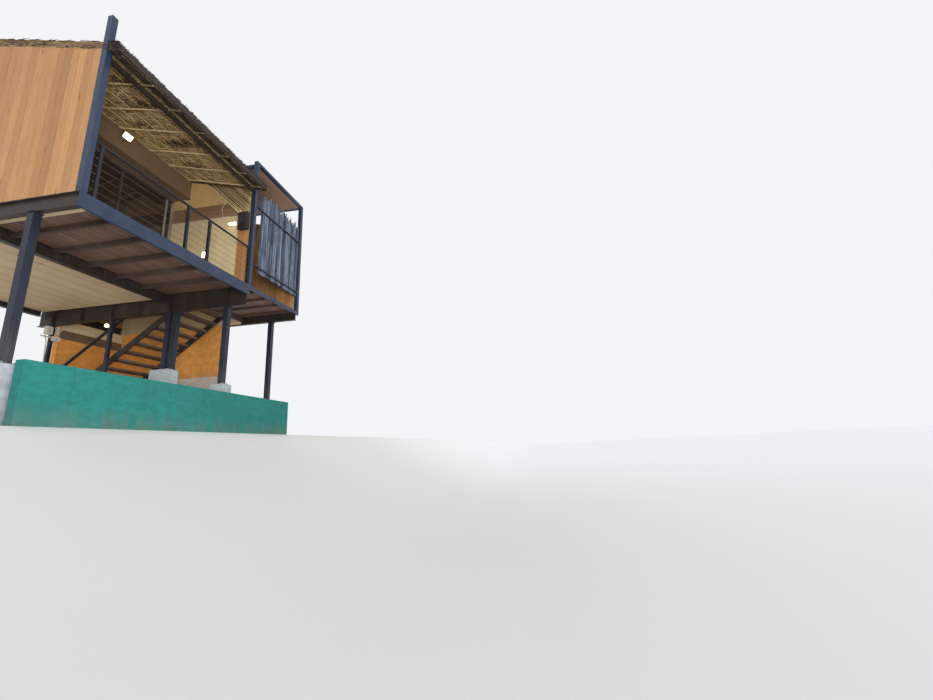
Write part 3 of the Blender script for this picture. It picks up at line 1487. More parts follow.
@dataclass
class Walls:
    """Board walls of the room and the stair hall, plank door and plaited mat.

    Attributes:
        board: Width of a brown board.
        joint: Width of the joints between them.
        pale_board: Width of a pale plank.
        band_board: Width of a board of the dark band.
        gable_board: Width of a gable board.
        door_board: Width of a plank of the door.
        tight: Width of the joints between pale planks.
        lining: Thickness of the lining of the hall's party wall.
        jamb: Width of the door's jambs and head.
        leaf_in: How far the door's leaf stays inside its opening.
        ledge_h: Height of a ledge behind the door.
        slant_lo: Depth and height of the foot of the mat's slanting edge.
        slant_hi: Depth and height of its head.
        pale_poles: How far each pale pole lies behind that edge, and its radius.
        dark_pole: The same for the dark pole.
        reeds: Number of reeds over the mat.
        reed_start: How far the first of them lies behind the edge.
        reed_pitch: Distance between two of them.
        reed_play: How far one may lie off its place.
        reed_r: Least and greatest radius of one.
        shortest: Least share of the edge's length that is worth a reed.
        plate: Depths along the dark plate over the gable board, and its radii there.
        conduit_u: Place of the conduit along the front.
        conduit: Depths and heights of its bends.
    """

    board: float = 0.145
    joint: float = 0.006
    pale_board: float = 0.19
    band_board: float = 0.13
    gable_board: float = 0.42
    door_board: float = 0.20
    tight: float = 0.003
    lining: float = 0.03
    jamb: float = 0.046
    leaf_in: float = 0.05
    ledge_h: float = 0.09
    slant_lo: Pair = (0.38, PLAN.pale_z + 0.07)
    slant_hi: Pair = (1.40, float(PLAN.thatch_under(1.40)))
    pale_poles: tuple[Pair, ...] = ((0.026, 0.019), (-0.050, 0.013))
    dark_pole: Pair = (-0.016, 0.013)
    reeds: int = 15
    reed_start: float = -0.098
    reed_pitch: float = 0.062
    reed_play: float = 0.012
    reed_r: Pair = (0.0055, 0.0115)
    shortest: float = 0.04
    plate: Outline = ((1.36, 0.022), (1.55, 0.024), (1.74, 0.025), (1.897, 0.026))
    conduit_u: float = 3.813
    conduit: Outline = ((0.74, 5.905), (0.84, 5.875), (0.90, 5.80), (0.915, 5.69),
                        (0.88, 5.56), (0.85, 5.43), (0.78, 5.35), (0.70, 5.30))

    def build(self) -> None:
        """Builds each wall in turn."""
        dress("front_posts", Finish.FASCIA_STEEL, 0.004)
        dress("back_posts", Finish.FASCIA_STEEL, 0.004)
        self._party_walls()
        self._side_wall()
        self._end_wall()
        self._door()
        self._back_wall()
        self._poles()
        self._trims()

    def _wall(self, low: float, high: float) -> BoardWall:
        """A wall across the house between two places along the front."""
        return BoardWall(Lie.ACROSS, low, high, self.board, self.joint)

    @staticmethod
    def _under_thatch(v0: float, v1: float) -> list[Pair]:
        """Outline of a wall from the deck to the thatch.

        Args:
            v0: Depth at which it starts.
            v1: Depth at which it ends.

        Returns:
            Its corners.
        """
        p = PLAN
        mid = p.house_d / 2
        return [(v0, p.deck_z), (v1, p.deck_z), (v1, p.thatch_under(v1)), (mid, p.thatch_under(mid)),
                (v0, p.thatch_under(v0))]

    def _party_walls(self) -> None:
        """Upright boards to the thatch or the flat roof; the hall's lining turns pale further in."""
        p, shape, pale = PLAN, Shape(), Shape()
        near = self._under_thatch(p.post_s, p.house_d - p.post_s)
        far = clipped(near, 1, 0.0, p.flat_roof_z)
        inner = p.hall_u1 + self.lining
        self._wall(-p.wall_t / 2, p.wall_t / 2).cover(shape, near, random.Random(11))
        self._wall(inner, p.unit_w + p.wall_t / 2).cover(shape, far, random.Random(12))
        self._wall(p.hall_u1, inner).cover(shape, clipped(far, 0, 0.0, p.landing_d), random.Random(21))
        shape.piece("party_wall_boards", Finish.BROWN_BOARD, "brown_board", ["party_walls"])
        planks = BoardWall(Lie.ACROSS, p.hall_u1, inner, self.pale_board, self.tight)
        planks.cover(pale, clipped(far, 0, p.landing_d, p.house_d), random.Random(22))
        pale.piece("hall_lining", Finish.PALE_PLANK, "pale_plank")

    def _side_wall(self) -> None:
        """Boards between the room and the stair hall."""
        p, shape = PLAN, Shape()
        outline = self._under_thatch(p.balcony_d, p.house_d - p.post_s)
        self._wall(p.bay_u1, p.hall_u0).cover(shape, outline, random.Random(13))
        shape.piece("room_side_boards", Finish.BROWN_BOARD, "brown_board", ["room_side_wall"])

    def _end_wall(self) -> None:
        """Boards by the post, band, pale planks and gable board of the balcony's end wall."""
        p, brown, pale, strip, top = PLAN, Shape(), Shape(), Shape(), Shape()
        v0, v1, v2, high = p.post_s, p.boards_v1, p.balcony_d, (p.deck_z, p.pale_z)
        share = (p.band_z - self.slant_lo[1]) / (self.slant_hi[1] - self.slant_lo[1])
        bend = (self.slant_lo[0] + (self.slant_hi[0] - self.slant_lo[0]) * share, p.band_z)
        self._wall(p.bay_u1, p.hall_u0).cover(brown, oblong((v0, v1), high), random.Random(14))
        band = BoardWall(Lie.ACROSS, p.bay_u1, p.hall_u0, self.band_board, self.joint, False)
        band.cover(strip, [(v0, p.pale_z), (v2, p.pale_z), (v2, p.band_z), bend, self.slant_lo,
                           (v0, self.slant_lo[1])], random.Random(15))
        planks, gable = (BoardWall(Lie.ACROSS, p.bay_u1, p.hall_u0, width, self.tight, lap=0.001)
                         for width in (self.pale_board, self.gable_board))
        for seed, ends in enumerate(((v1, p.door_v0), (p.door_v0 + p.door_w, v2))):
            planks.cover(pale, oblong(ends, high), random.Random(16 + seed))
        gable.cover(top, [bend, (v2, p.band_z), (v2, p.thatch_under(v2)), self.slant_hi],
                    random.Random(18))
        strip.piece("end_wall_band", Finish.BAND_BOARD, "brown_board")
        brown.piece("end_wall_brown_boards", Finish.BROWN_BOARD, "brown_board", ["end_wall_boards"])
        top.piece("gable_boards", Finish.GABLE_BOARD, "pale_plank")
        pale.piece("end_wall_pale_planks", Finish.PALE_PLANK, "pale_plank", ["end_wall_planks"])
        dress("end_wall_mat", Finish.MAT)

    def _door(self) -> None:
        """Plank door to the landing: flush planks on the balcony, ledges, hinges and a pull behind."""
        p, planks, iron, jamb = PLAN, Shape(), Shape(), self.jamb
        (near, far), (v0, v1) = (p.bay_u1, p.hall_u0), (p.door_v0, p.door_v0 + p.door_w)
        foot, top = p.deck_z, p.pale_z
        leaf = BoardWall(Lie.ACROSS, near + 0.004, far - 0.010, self.door_board, self.tight, lap=0.001)
        leaf.cover(planks, oblong((v0 + self.leaf_in, v1 - self.leaf_in),
                                  (foot + 0.004, top - self.leaf_in)), random.Random(19))
        for a, b in ((v0, v0 + jamb), (v1 - jamb, v1)):
            planks.box((near, a, foot), (far, b, top))
        planks.box((near, v0 + jamb, top - jamb), (far, v1 - jamb, top))
        for z in (foot + 0.22, foot + 0.95, top - 0.30):
            planks.box((far - 0.012, v0 + 0.07, z), (far, v1 - 0.07, z + self.ledge_h))
        planks.piece("landing_door_leaf", Finish.PALE_PLANK, "pale_plank", ["landing_door"],
                     bevel=0.0015)
        z, pull_v, face, grip = foot + 1.0, v0 + 0.11, far - 0.010, far + 0.018
        iron.tube([(face, pull_v, z - 0.07), (grip, pull_v, z - 0.06), (grip, pull_v, z + 0.06),
                   (face, pull_v, z + 0.07)], 0.006, 8)
        pin_u, pin_v = far + 0.004, v1 - 0.02
        for z in (foot + 0.265, top - 0.255):
            iron.box((far - 0.002, v1 - 0.42, z - 0.016), (pin_u, pin_v, z + 0.016))
            iron.tube([(pin_u, pin_v, z - 0.05), (pin_u, pin_v, z + 0.05)], 0.008, 10)
        iron.piece("door_furniture", Finish.RAIL_STEEL, "dark_steel")

    def _back_wall(self) -> None:
        """Upright boards along the back."""
        p, shape = PLAN, Shape()
        v1, top, half = p.house_d - p.post_s, p.eave_z - 0.08, p.post_s / 2
        wall = BoardWall(Lie.INWARD, v1, v1 + p.wall_t, self.board, self.joint)
        for seed, ends in enumerate(((half, p.bay_w - half), (p.bay_w + half, p.unit_w - half))):
            wall.cover(shape, oblong(ends, (p.deck_z, top)), random.Random(23 + seed))
        shape.piece("back_wall_boards", Finish.BACK_BOARD, "brown_board", ["back_wall"])

    def _poles(self) -> None:
        """Poles and reeds along the mat's slanting edge, and the dark plate over the gable board."""
        p, pale, dark, reeds = PLAN, Shape(), Shape(), Shape()
        (v0, z0), (v1, z1) = self.slant_lo, self.slant_hi
        run, rise, slope = v1 - v0, z1 - z0, float(p.thatch_under(1.0) - p.thatch_under(0.0))
        draw, steps = random.Random(30), 6
        bars = [*((pale, *pole) for pole in self.pale_poles), (dark, *self.dark_pole)]
        for k in range(self.reeds):
            play = draw.uniform(-self.reed_play, self.reed_play)
            shift = self.reed_start - self.reed_pitch * k + play
            bars.append((reeds, shift, draw.uniform(*self.reed_r)))
        for shape, shift, radius in bars:
            first = max(0.0, (p.post_s + radius - v0 - shift) / run)
            last = (float(p.thatch_under(v0 + shift)) - 0.014 - radius - z0) / (rise - slope * run)
            if last - first < self.shortest:
                continue
            wave = draw.uniform(-0.005, 0.005) if shape is reeds else 0.006
            path, u = [], p.bay_u1 - radius * 0.7
            for k in range(steps + 1):
                share = first + (last - first) * k / steps
                sway = wave * math.sin(math.pi * k / steps)
                path.append((u, v0 + shift + run * share + sway, z0 + rise * share))
            shape.tube(path, radius, 8)
        top = [(p.bay_u1 - 0.026, v, p.thatch_under(v) - 0.028) for v, _ in self.plate]
        dark.tube(top, [radius for _, radius in self.plate], 10)
        pale.piece("mat_poles", Finish.POLE, "pole", smooth=True)
        reeds.piece("mat_reeds", Finish.LATH, "pole", smooth=True)
        dark.piece("gable_poles", Finish.JOIST, "dark_board", smooth=True)

    def _trims(self) -> None:
        """Bent conduit to the wall lamp, held by saddles, and the thin strip over the pale planks."""
        p, shape, u = PLAN, Shape(), self.conduit_u
        shape.tube(smoothed([(u, v, z) for v, z in self.conduit], 5), 0.0045, 8)
        for v, z in self.conduit[1::2]:
            shape.box((u - 0.007, v - 0.012, z - 0.005), (p.bay_u1, v + 0.012, z + 0.005))
        shape.box((p.bay_u1 - 0.012, p.boards_v1 + 0.25, p.pale_z - 0.004),
                  (p.bay_u1, p.balcony_d - 0.02, p.pale_z + 0.010))
        shape.piece("end_wall_trims", Finish.DOOR_FRAME, "pale_plank")


def smoothed(path: Sequence[Spot], steps: int) -> list[Vector]:
    """A curve through the points.

    Args:
        path: The points.
        steps: Points of the curve for each of them.

    Returns:
        The curve's points.
    """
    spots = [Vector(p) for p in path]
    held = [spots[0], *spots, spots[-1]]
    curve = [spots[0]]
    for before, start, end, after in zip(held, held[1:], held[2:], held[3:]):
        for k in range(1, steps + 1):
            s = k / steps
            curve.append(0.5 * (2 * start + (end - before) * s
                                + (2 * before - 5 * start + 4 * end - after) * s ** 2
                                + (3 * start - before - 3 * end + after) * s ** 3))
    return curve


@dataclass
class RoomFront:
    """Bulkhead over the glass, and sliding leaves with their tracks, beads and pulls."""

    frame_w: float = 0.06
    front: float = 2.365
    back: float = 2.435
    track_t: float = 0.032
    bead: float = 0.008
    bead_v: Pair = (0.022, 0.030)
    side_light: float = 0.2
    leaves: int = 3
    pull_z: Pair = (0.95, 1.15)
    lip_out: float = 0.012
    lip_in: Pair = (0.03, 0.05)
    lip_h: float = 0.035
    covers: int = 3
    cover_half: float = 0.012

    def edges(self) -> list[float]:
        """Places the stiles.

        Returns:
            Place of each along the front.
        """
        start, end = PLAN.wall_t / 2, PLAN.bay_u1
        leaf = (end - start - self.side_light) / self.leaves
        return [start + i * leaf for i in range(self.leaves + 1)] + [end]

    def build(self) -> None:
        """Builds the bulkhead's trims and the glass front."""
        dress("bulkhead", Finish.BULKHEAD, 0.002)
        dress("door_glass", Finish.GLASS)
        self._trims()
        self._frames()

    def _trims(self) -> None:
        """Lip along the bulkhead's foot and cover strips over its joints."""
        trims, lip, v, z = Shape(), Shape(), PLAN.bulkhead_v, PLAN.bulkhead_z
        start, end, out, (middle, inner) = PLAN.post_s / 2, PLAN.bay_u1, self.lip_out, self.lip_in
        lip.box((start, v - out, z - out), (end, v + middle, z + self.lip_h))
        lip.box((start, v + middle, z - out), (end, v + inner, z))
        top, half = PLAN.rafter_under(v) - 0.01, self.cover_half
        for i in range(self.covers):
            u = start + (i + 1) * (end - start) / (self.covers + 1)
            trims.box((u - half, v - 0.004, z + 0.04), (u + half, v + 0.001, top))
        trims.piece("bulkhead_trims", Finish.BULKHEAD, "dark_board", bevel=0.002)
        lip.piece("bulkhead_lip", Finish.DARK_BOARD, "dark_board", bevel=0.002)

    def _frames(self) -> None:
        """Dark head, foot and stiles, pale stiles at the fixed light, beads and pulls."""
        p, dark, pale, pulls, bead = PLAN, Shape(), Shape(), Shape(), self.bead
        edges, half, front, back = self.edges(), self.frame_w / 2, self.front, self.back
        low, high = p.deck_z + self.frame_w, p.bulkhead_z - self.frame_w
        for z0, z1 in ((p.deck_z, low), (high, p.bulkhead_z)):
            for v0, v1 in ((front, front + self.track_t), (back - self.track_t, back)):
                dark.box((edges[0], v0, z0), (edges[-1], v1, z1))
            dark.box((edges[0], front + 0.03, z0 + 0.012), (edges[-1], back - 0.03, z1 - 0.012))
        dark.box((edges[0], front, low), (edges[0] + self.frame_w, back, high))
        pale.box((edges[-1] - self.frame_w, front, low), (edges[-1], back, high))
        for i, edge in enumerate(edges[1:-1]):
            shape = pale if i == self.leaves - 1 else dark
            shape.box((edge - half, front, low), (edge - 0.003, back - 0.010, high))
            shape.box((edge + 0.003, front + 0.010, low), (edge + half, back, high))
            pulls.box((edge - 0.020, front - 0.014, p.deck_z + self.pull_z[0]),
                      (edge - 0.010, front, p.deck_z + self.pull_z[1]))
        near, far = (front + depth for depth in self.bead_v)
        for left, right in zip(edges, edges[1:]):
            a = left + (self.frame_w if left == edges[0] else half)
            b = right - (self.frame_w if right == edges[-1] else half)
            for u in (a, b - bead):
                dark.box((u, near, low), (u + bead, far, high))
            for z in (low, high - bead):
                dark.box((a, near, z), (b, far, z + bead))
        dark.piece("leaf_frames", Finish.DARK_FRAME, "door_frame", ["door_frames"], bevel=0.001)
        pale.piece("pale_stiles", Finish.STILE, "door_frame", bevel=0.002)
        pulls.piece("door_pulls", Finish.RAIL_STEEL, "door_frame", bevel=0.002)


@dataclass
class Screen:
    """Split slats of uneven width, twist and height, bolted behind two steel rails."""

    count: int = 22
    low_u: float = 4.16
    front: float = 0.04
    depth: float = 0.026
    foot: float = 4.0
    top: float = 6.22
    uneven: float = 0.14
    rail_heights: Pair = (0.59, 2.20)
    steps: int = 34
    seed: int = 71

    def _slat(self, shape: Shape, middle: float, half: float, draw: random.Random) -> None:
        """Adds one slat.

        Args:
            shape: Where it goes.
            middle: Its middle along the front.
            half: Most that half its width may be.
            draw: Source of chance.
        """
        foot, top = self.foot + draw.uniform(0, 0.03), self.top + self.uneven * draw.random() ** 1.3
        phases = [draw.uniform(0, 6.28) for _ in range(6)]
        depth = self.depth * draw.uniform(0.72, 0.90)
        ridge = draw.uniform(-0.3, 0.3)
        torn = {self.steps: (0.0, 0.5), self.steps - 1: (0.5, 0.95)}
        points: list[Spot] = []
        for k in range(self.steps + 1):
            share = k / self.steps
            z = foot + (top - foot) * share
            sides = []
            for slow, fast, phase in ((5, 17, 0), (4, 19, 2)):
                sway = 0.06 * math.sin(slow * share + phases[phase])
                sides.append(half * (0.88 + sway + 0.05 * math.sin(fast * share + phases[phase + 1])))
            if k in torn:
                sides = [side * draw.uniform(*torn[k]) for side in sides]
            left, right = sides
            front = self.front + 0.05 * self.depth * (1 + math.sin(9 * share + phases[5]))
            back, edge = front + depth, front + depth * 0.35
            centre = middle + 0.002 * math.sin(6 * share + phases[4])
            peak = centre + ridge * half
            points += [(centre - left, back, z), (centre - left, edge, z),
                       (peak - half * 0.35, front, z), (peak + half * 0.25, front + 0.001, z),
                       (centre + right, edge, z), (centre + right, back, z)]
        shape.add(points, ringed(self.steps + 1, 6))

    def build(self) -> None:
        """Builds the slats, dresses the rails and adds the bolts."""
        pitch = (PLAN.hall_u1 - self.low_u) / self.count
        slats, heads = Shape(), Shape()
        draw = random.Random(self.seed)
        for i in range(self.count):
            middle = self.low_u + (i + 0.5) * pitch
            self._slat(slats, middle, pitch / 2 - 0.0015, draw)
            for height in self.rail_heights:
                seat = (middle + draw.uniform(-0.010, 0.010), 0.001, PLAN.deck_z + height)
                heads.turned(seat, (0, -1, 0), [(0.008, 0), (0.008, 0.002), (0.005, 0.004)], 8)
        slats.piece("split_slats", Finish.SLAT, "split_slat", ["screen_slats"])
        heads.piece("slat_bolts", Finish.FIXING, "split_slat")
        dress("screen_rails", Finish.RAIL_STEEL, 0.003)


@dataclass
class Rails:
    """Balcony rail with wires and their fittings, and the stair's handrail."""

    posts: tuple[float, ...] = (0.175, 1.95, 2.52, 3.795)
    middle_v: float = 0.05
    wire_n: int = 6
    height: float = 1.0
    post_half: float = 0.025
    foot: Pair = (0.05, 0.045)
    foot_t: float = 0.008
    foot_bolt: Pair = (0.038, 0.032)
    ferrule: Outline = ((0.007, 0), (0.007, 0.005), (0.005, 0.007), (0.005, 0.028), (0.0032, 0.032))

    def build(self) -> None:
        """Dresses the rails and adds ferrules, feet and bolts."""
        dress("handrails", Finish.RAIL_STEEL)
        dress("rail_posts", Finish.RAIL_STEEL, 0.003)
        dress("rail_wires", Finish.WIRE)
        ferrules, feet = Shape(), Shape()
        for k in range(1, self.wire_n + 1):
            z = PLAN.deck_z + k * self.height / (self.wire_n + 1)
            for u in self.posts:
                for sign in (-1,) if u == self.posts[-1] else (-1, 1):
                    seat = (u + sign * self.post_half, self.middle_v, z)
                    ferrules.turned(seat, (sign, 0, 0), self.ferrule, 8)
        v, z, (half_u, half_v), (bolt_u, bolt_v) = self.middle_v, PLAN.deck_z, self.foot, self.foot_bolt
        top = z + self.foot_t
        for u in self.posts[:-1]:
            feet.box((u - half_u, v - half_v, z), (u + half_u, v + half_v, top))
            for side in (-1, 1):
                feet.bolt((u + side * bolt_u, v + bolt_v, top), (0, 0, 1), 0.008)
        ferrules.piece("wire_ferrules", Finish.WIRE, "rail_wire", smooth=True)
        feet.piece("rail_feet", Finish.RAIL_STEEL, "fascia_steel")


def turned_back(spots: np.ndarray, ways: np.ndarray) -> tuple[np.ndarray, np.ndarray]:
    """Spots and directions of the front slope, mirrored on to the back slope."""
    return spots * [1, -1, 1] + [0, PLAN.house_d, 0], ways * [1, -1, 1]


@dataclass(frozen=True)
class Straws:
    """Many tapered straws.

    Attributes:
        roots: Where each starts.
        ways: Direction of each.
        lengths: Length of each.
        radii: Radius of each at its root.
        tones: Tone of each, from 0 to 1.
        droop: How far a tip sinks for each metre of length.
    """

    roots: np.ndarray
    ways: np.ndarray
    lengths: np.ndarray
    radii: np.ndarray
    tones: np.ndarray
    droop: float = 0.02

    def lay(self, shape: Shape, draw: np.random.Generator, back: bool) -> None:
        """Adds each straw as a closed three-sided spike that stays inside the roof's outline.

        Args:
            shape: Where they go.
            draw: Source of chance.
            back: True to mirror them on to the back slope.
        """
        count, sides, p = len(self.roots), 3, PLAN
        last = 2 * sides
        roots, ways = turned_back(self.roots, self.ways) if back else (self.roots, self.ways)
        ways = ways / np.linalg.norm(ways, axis=1, keepdims=True)
        side = np.cross(ways, draw.normal(size=(count, 3)))
        side /= np.linalg.norm(side, axis=1, keepdims=True)
        other = np.cross(ways, side)
        sink = np.array([0.0, 0.0, -self.droop])
        rings = []
        for share, girth in ((0.0, 1.0), (0.55, 0.85)):
            reach = self.lengths * share
            middle = roots + ways * reach[:, None] + sink * (reach * share)[:, None]
            for k in range(sides):
                turn = 2 * math.pi * k / sides
                around = side * math.cos(turn) + other * math.sin(turn)
                rings.append(middle + around * (self.radii * girth)[:, None])
        tip = roots + ways * self.lengths[:, None] + sink * self.lengths[:, None]
        low = np.array([-p.straw_out, -p.overhang + 0.002, p.eave_z - 0.27])
        high = np.array([p.bay_w + p.straw_out, p.house_d + p.overhang - 0.002, p.straw_top_z])
        points = np.clip(np.stack([*rings, tip], axis=1), low, high)
        faces = [(0, 2, 1)]
        for k in range(sides):
            j = (k + 1) % sides
            faces += [(k, j, sides + j), (k, sides + j, sides + k), (sides + k, sides + j, last)]
        firsts = np.arange(count) * (last + 1)
        corners = (np.array(faces)[None] + firsts[:, None, None]).reshape(-1, 3)
        shape.block(points.reshape(-1, 3), corners, np.repeat(self.tones, last + 1))


@dataclass
class Slope:
    """One slope of the thatch: its bed, and the straws laid over, under and round it.

    Attributes:
        side: front or back.
        seed: Start of its draw of chance.
        course: Length of a course.
        inset: How far the bed stays behind the eave's edge.
        top_n: Straws that show above.
        under_n: Straws that show below.
        fringe_n: Butt ends along the eave.
        gable_n: Straw ends along each gable.
        reed_n: Long reeds underneath.
        stations: Sections of the bed along the roof.
        tufts: Place, depth, reach and number of straws of each dark tuft underneath.
    """

    side: str
    seed: int
    course: float = 0.33
    inset: float = 0.035
    top_n: int = 9000
    under_n: int = 7500
    fringe_n: int = 3400
    gable_n: int = 700
    reed_n: int = 240
    stations: int = 72
    tufts: tuple[tuple[float, float, float, int], ...] = (
        (1.13, 0.56, 0.24, 330), (2.25, 0.72, 0.26, 380), (0.58, 0.46, 0.14, 160),
        (3.02, 1.15, 0.18, 120), (1.72, 1.30, 0.16, 90))

    def __post_init__(self) -> None:
        """Starts the draw of chance."""
        self.back = self.side == "back"
        self.draw = np.random.default_rng(self.seed)
        self.top = Shape()
        self.under = Shape()

    def build(self) -> None:
        """Builds the bed and lays the straw."""
        self._bed()
        self._courses()
        self._fringe()
        self._underside()
        self._reeds()
        self._hanging_ends()
        self._dark_tufts()
        self._gables()
        self.top.piece(f"straw_{self.side}_top", Finish.STRAW_TOP, "thatch_straw")
        self.under.piece(f"straw_{self.side}_under", Finish.STRAW_UNDER, "thatch_straw")

    def _step(self) -> float:
        """Length of a course when whole courses reach the saddle."""
        span = PLAN.house_d / 2 - PLAN.saddle_half + PLAN.overhang
        return span / round(span / self.course)

    def _lay(self, shape: Shape, roots: Sequence[Depth], ways: Sequence[Depth], lengths: np.ndarray,
             radii: np.ndarray, tones: np.ndarray, droop: float = 0.02) -> None:
        """Lays straws on this slope; roots and ways are given along the front, inwards and up."""
        spots, headings = (np.stack(np.broadcast_arrays(*parts), axis=1) for parts in (roots, ways))
        Straws(spots, headings, lengths, radii, tones, droop).lay(shape, self.draw, self.back)

    def _bed(self) -> None:
        """The body of the slope: stepped courses above, wavy underside, ragged ends."""
        p, draw, step = PLAN, self.draw, self._step()
        v0, v1 = -p.overhang + self.inset, p.house_d / 2
        u0, u1 = -p.wall_t / 2 + 0.012, p.bay_w + p.wall_t / 2 - 0.012
        vs = np.arange(v0, v1 + 0.001, 0.055)
        vs[-1] = v1
        rows = []
        for share in np.linspace(0, 1, self.stations):
            u = u0 + (u1 - u0) * share
            upper, lower = [], []
            for v in vs:
                rise = 0.026 * (1 - ((v + p.overhang) / step) % 1.0) if v < v1 - 0.4 else 0.0
                edge = 0.03 if v == vs[0] else 0.0
                top = p.thatch_top(v) + rise * 0.8 - 0.012 - edge
                upper.append((u, v, top + draw.uniform(-0.007, 0.007)))
                under = p.thatch_under(v) + 0.004 + edge * 0.3
                lower.append((u, v, under + abs(draw.normal()) * 0.004))
            rows.append(lower + upper[::-1])
        points = [(u, p.on_slope(v, self.back), z) for row in rows for u, v, z in row]
        shape = Shape()
        shape.add(points, ringed(self.stations, len(rows[0])))
        shape.piece(f"thatch_bed_{self.side}", Finish.STRAW_BED, "thatch_straw",
                    [f"thatch_{self.side}"])

    def _courses(self) -> None:
        """Straw that shows above: it runs down the slope, and each course's butts stand proud."""
        p, draw, count, step = PLAN, self.draw, self.top_n, self._step()
        row = draw.integers(0, int((p.house_d / 2 + p.overhang) / step) + 1, count)
        lengths = draw.uniform(0.16, 0.34, count)
        tip = -p.overhang + row * step + draw.normal(0, 0.022, count) + 0.02
        v = np.clip(tip + lengths, -p.overhang + 0.12, p.house_d / 2 - 0.02)
        self._lay(
            self.top,
            (draw.uniform(-0.05, p.bay_w + 0.05, count), v,
             p.thatch_top(v) + draw.uniform(-0.012, 0.006, count)),
            (draw.normal(0, 0.10, count), -1.0, -p.slope + draw.normal(0.055, 0.03, count)),
            lengths, draw.uniform(0.003, 0.0075, count), draw.random(count))

    def _fringe(self) -> None:
        """Butt ends along the eave, cut roughly, in locks that stand out and hang unevenly."""
        p, draw, count = PLAN, self.draw, self.fringe_n
        u = draw.uniform(-0.06, p.bay_w + 0.06, count)
        lock = 0.5 + 0.5 * np.sin(u * 23.0 + 1.7 * np.sin(u * 7.0)) * np.sin(u * 51.0 + 0.6)
        tip = -p.overhang + 0.003 + 0.075 * draw.random(count) ** 1.5 * (1.3 - lock)
        v = tip + draw.uniform(0.06, 0.17, count)
        share = draw.random(count)
        low, high = 0.35 + 0.75 * draw.random(count) * lock, 0.18 + draw.random(count) * 0.30
        fall = np.where(share < 0.25, low, high)
        ways = np.stack([draw.normal(0, 0.22, count), -np.ones(count), -fall])
        height = p.thatch_under(v) + 0.004 + share * (p.thatch_t + 0.012 + 0.012 * lock)
        self._lay(
            self.top, (u, v, height), ways,
            (v - tip) * np.linalg.norm(ways, axis=0), draw.uniform(0.003, 0.008, count),
            draw.random(count) * (0.30 + 0.5 * share), 0.10)

    def _underside(self) -> None:
        """Straw that shows below, along the slope."""
        p, draw, count = PLAN, self.draw, self.under_n
        v = draw.uniform(-0.20, p.house_d / 2 - 0.05, count)
        roots = (draw.uniform(-0.04, p.bay_w + 0.04, count), v,
                 p.thatch_under(v) + draw.uniform(-0.004, 0.010, count))
        down = np.where(draw.random(count) < 0.8, -1.0, 1.0)
        self._lay(
            self.under, roots, (draw.normal(0, 0.20, count), down, down * p.slope - 0.015),
            draw.uniform(0.10, 0.32, count), draw.uniform(0.0025, 0.0060, count),
            draw.random(count), 0.01)

    def _reeds(self) -> None:
        """Long pale reeds that lie straight down the slope underneath."""
        p, draw, count = PLAN, self.draw, self.reed_n
        v = draw.uniform(0.3, p.house_d / 2 - 0.02, count)
        self._lay(
            self.under, (draw.uniform(0.0, p.bay_w, count), v, p.thatch_under(v) - 0.003),
            (draw.normal(0, 0.035, count), -1.0, -p.slope),
            np.minimum(v - 0.06, draw.uniform(0.5, 1.3, count)), draw.uniform(0.0022, 0.0036, count),
            0.85 + 0.3 * draw.random(count), 0.004)

    def _hanging_ends(self) -> None:
        """Straw ends that hang at every other lath."""
        p, draw, count = PLAN, self.draw, self.under_n // 7
        v = 0.10 + draw.integers(0, 5, count) * 0.6 + draw.normal(0, 0.03, count)
        self._lay(
            self.under, (draw.uniform(-0.03, p.bay_w + 0.03, count), v, p.thatch_under(v) + 0.006),
            (draw.normal(0, 0.25, count), -1.0, -p.slope - 0.08 - 0.20 * draw.random(count)),
            draw.uniform(0.05, 0.13, count), draw.uniform(0.002, 0.0045, count),
            0.2 + draw.random(count) * 0.5, 0.05)

    def _dark_tufts(self) -> None:
        """Loose dark locks that have worked out between the laths."""
        p, draw = PLAN, self.draw
        for middle, depth, reach, count in self.tufts:
            v = depth + np.clip(draw.normal(0, 1, count), -1.6, 1.6) * reach
            u = middle + draw.normal(0, 0.055, count) + 0.04 * np.sin(v * 19.0)
            self._lay(
                self.under, (u, v, p.thatch_under(v) + 0.004),
                (draw.normal(0, 0.45, count), -draw.uniform(0.3, 1.0, count),
                 -p.slope - 0.15 - 0.65 * draw.random(count)),
                draw.uniform(0.04, 0.11, count), draw.uniform(0.003, 0.006, count),
                -0.15 - draw.random(count) * 0.25, 0.08)

    def _gables(self) -> None:
        """Straw ends along both gables."""
        p, draw, count = PLAN, self.draw, self.gable_n
        for edge, sign in ((-0.02, -1.0), (p.bay_w + 0.02, 1.0)):
            v, share = draw.uniform(-0.15, p.house_d / 2 - 0.04, count), draw.random(count)
            self._lay(
                self.top, (edge + draw.normal(0, 0.008, count), v,
                           p.thatch_under(v) + 0.008 + share * (p.thatch_t - 0.012)),
                (sign * draw.uniform(0.02, 0.22, count), -1.0, -p.slope + draw.normal(0, 0.05, count)),
                draw.uniform(0.08, 0.26, count), draw.uniform(0.003, 0.007, count),
                draw.random(count) * (0.4 + 0.6 * share), 0.03)


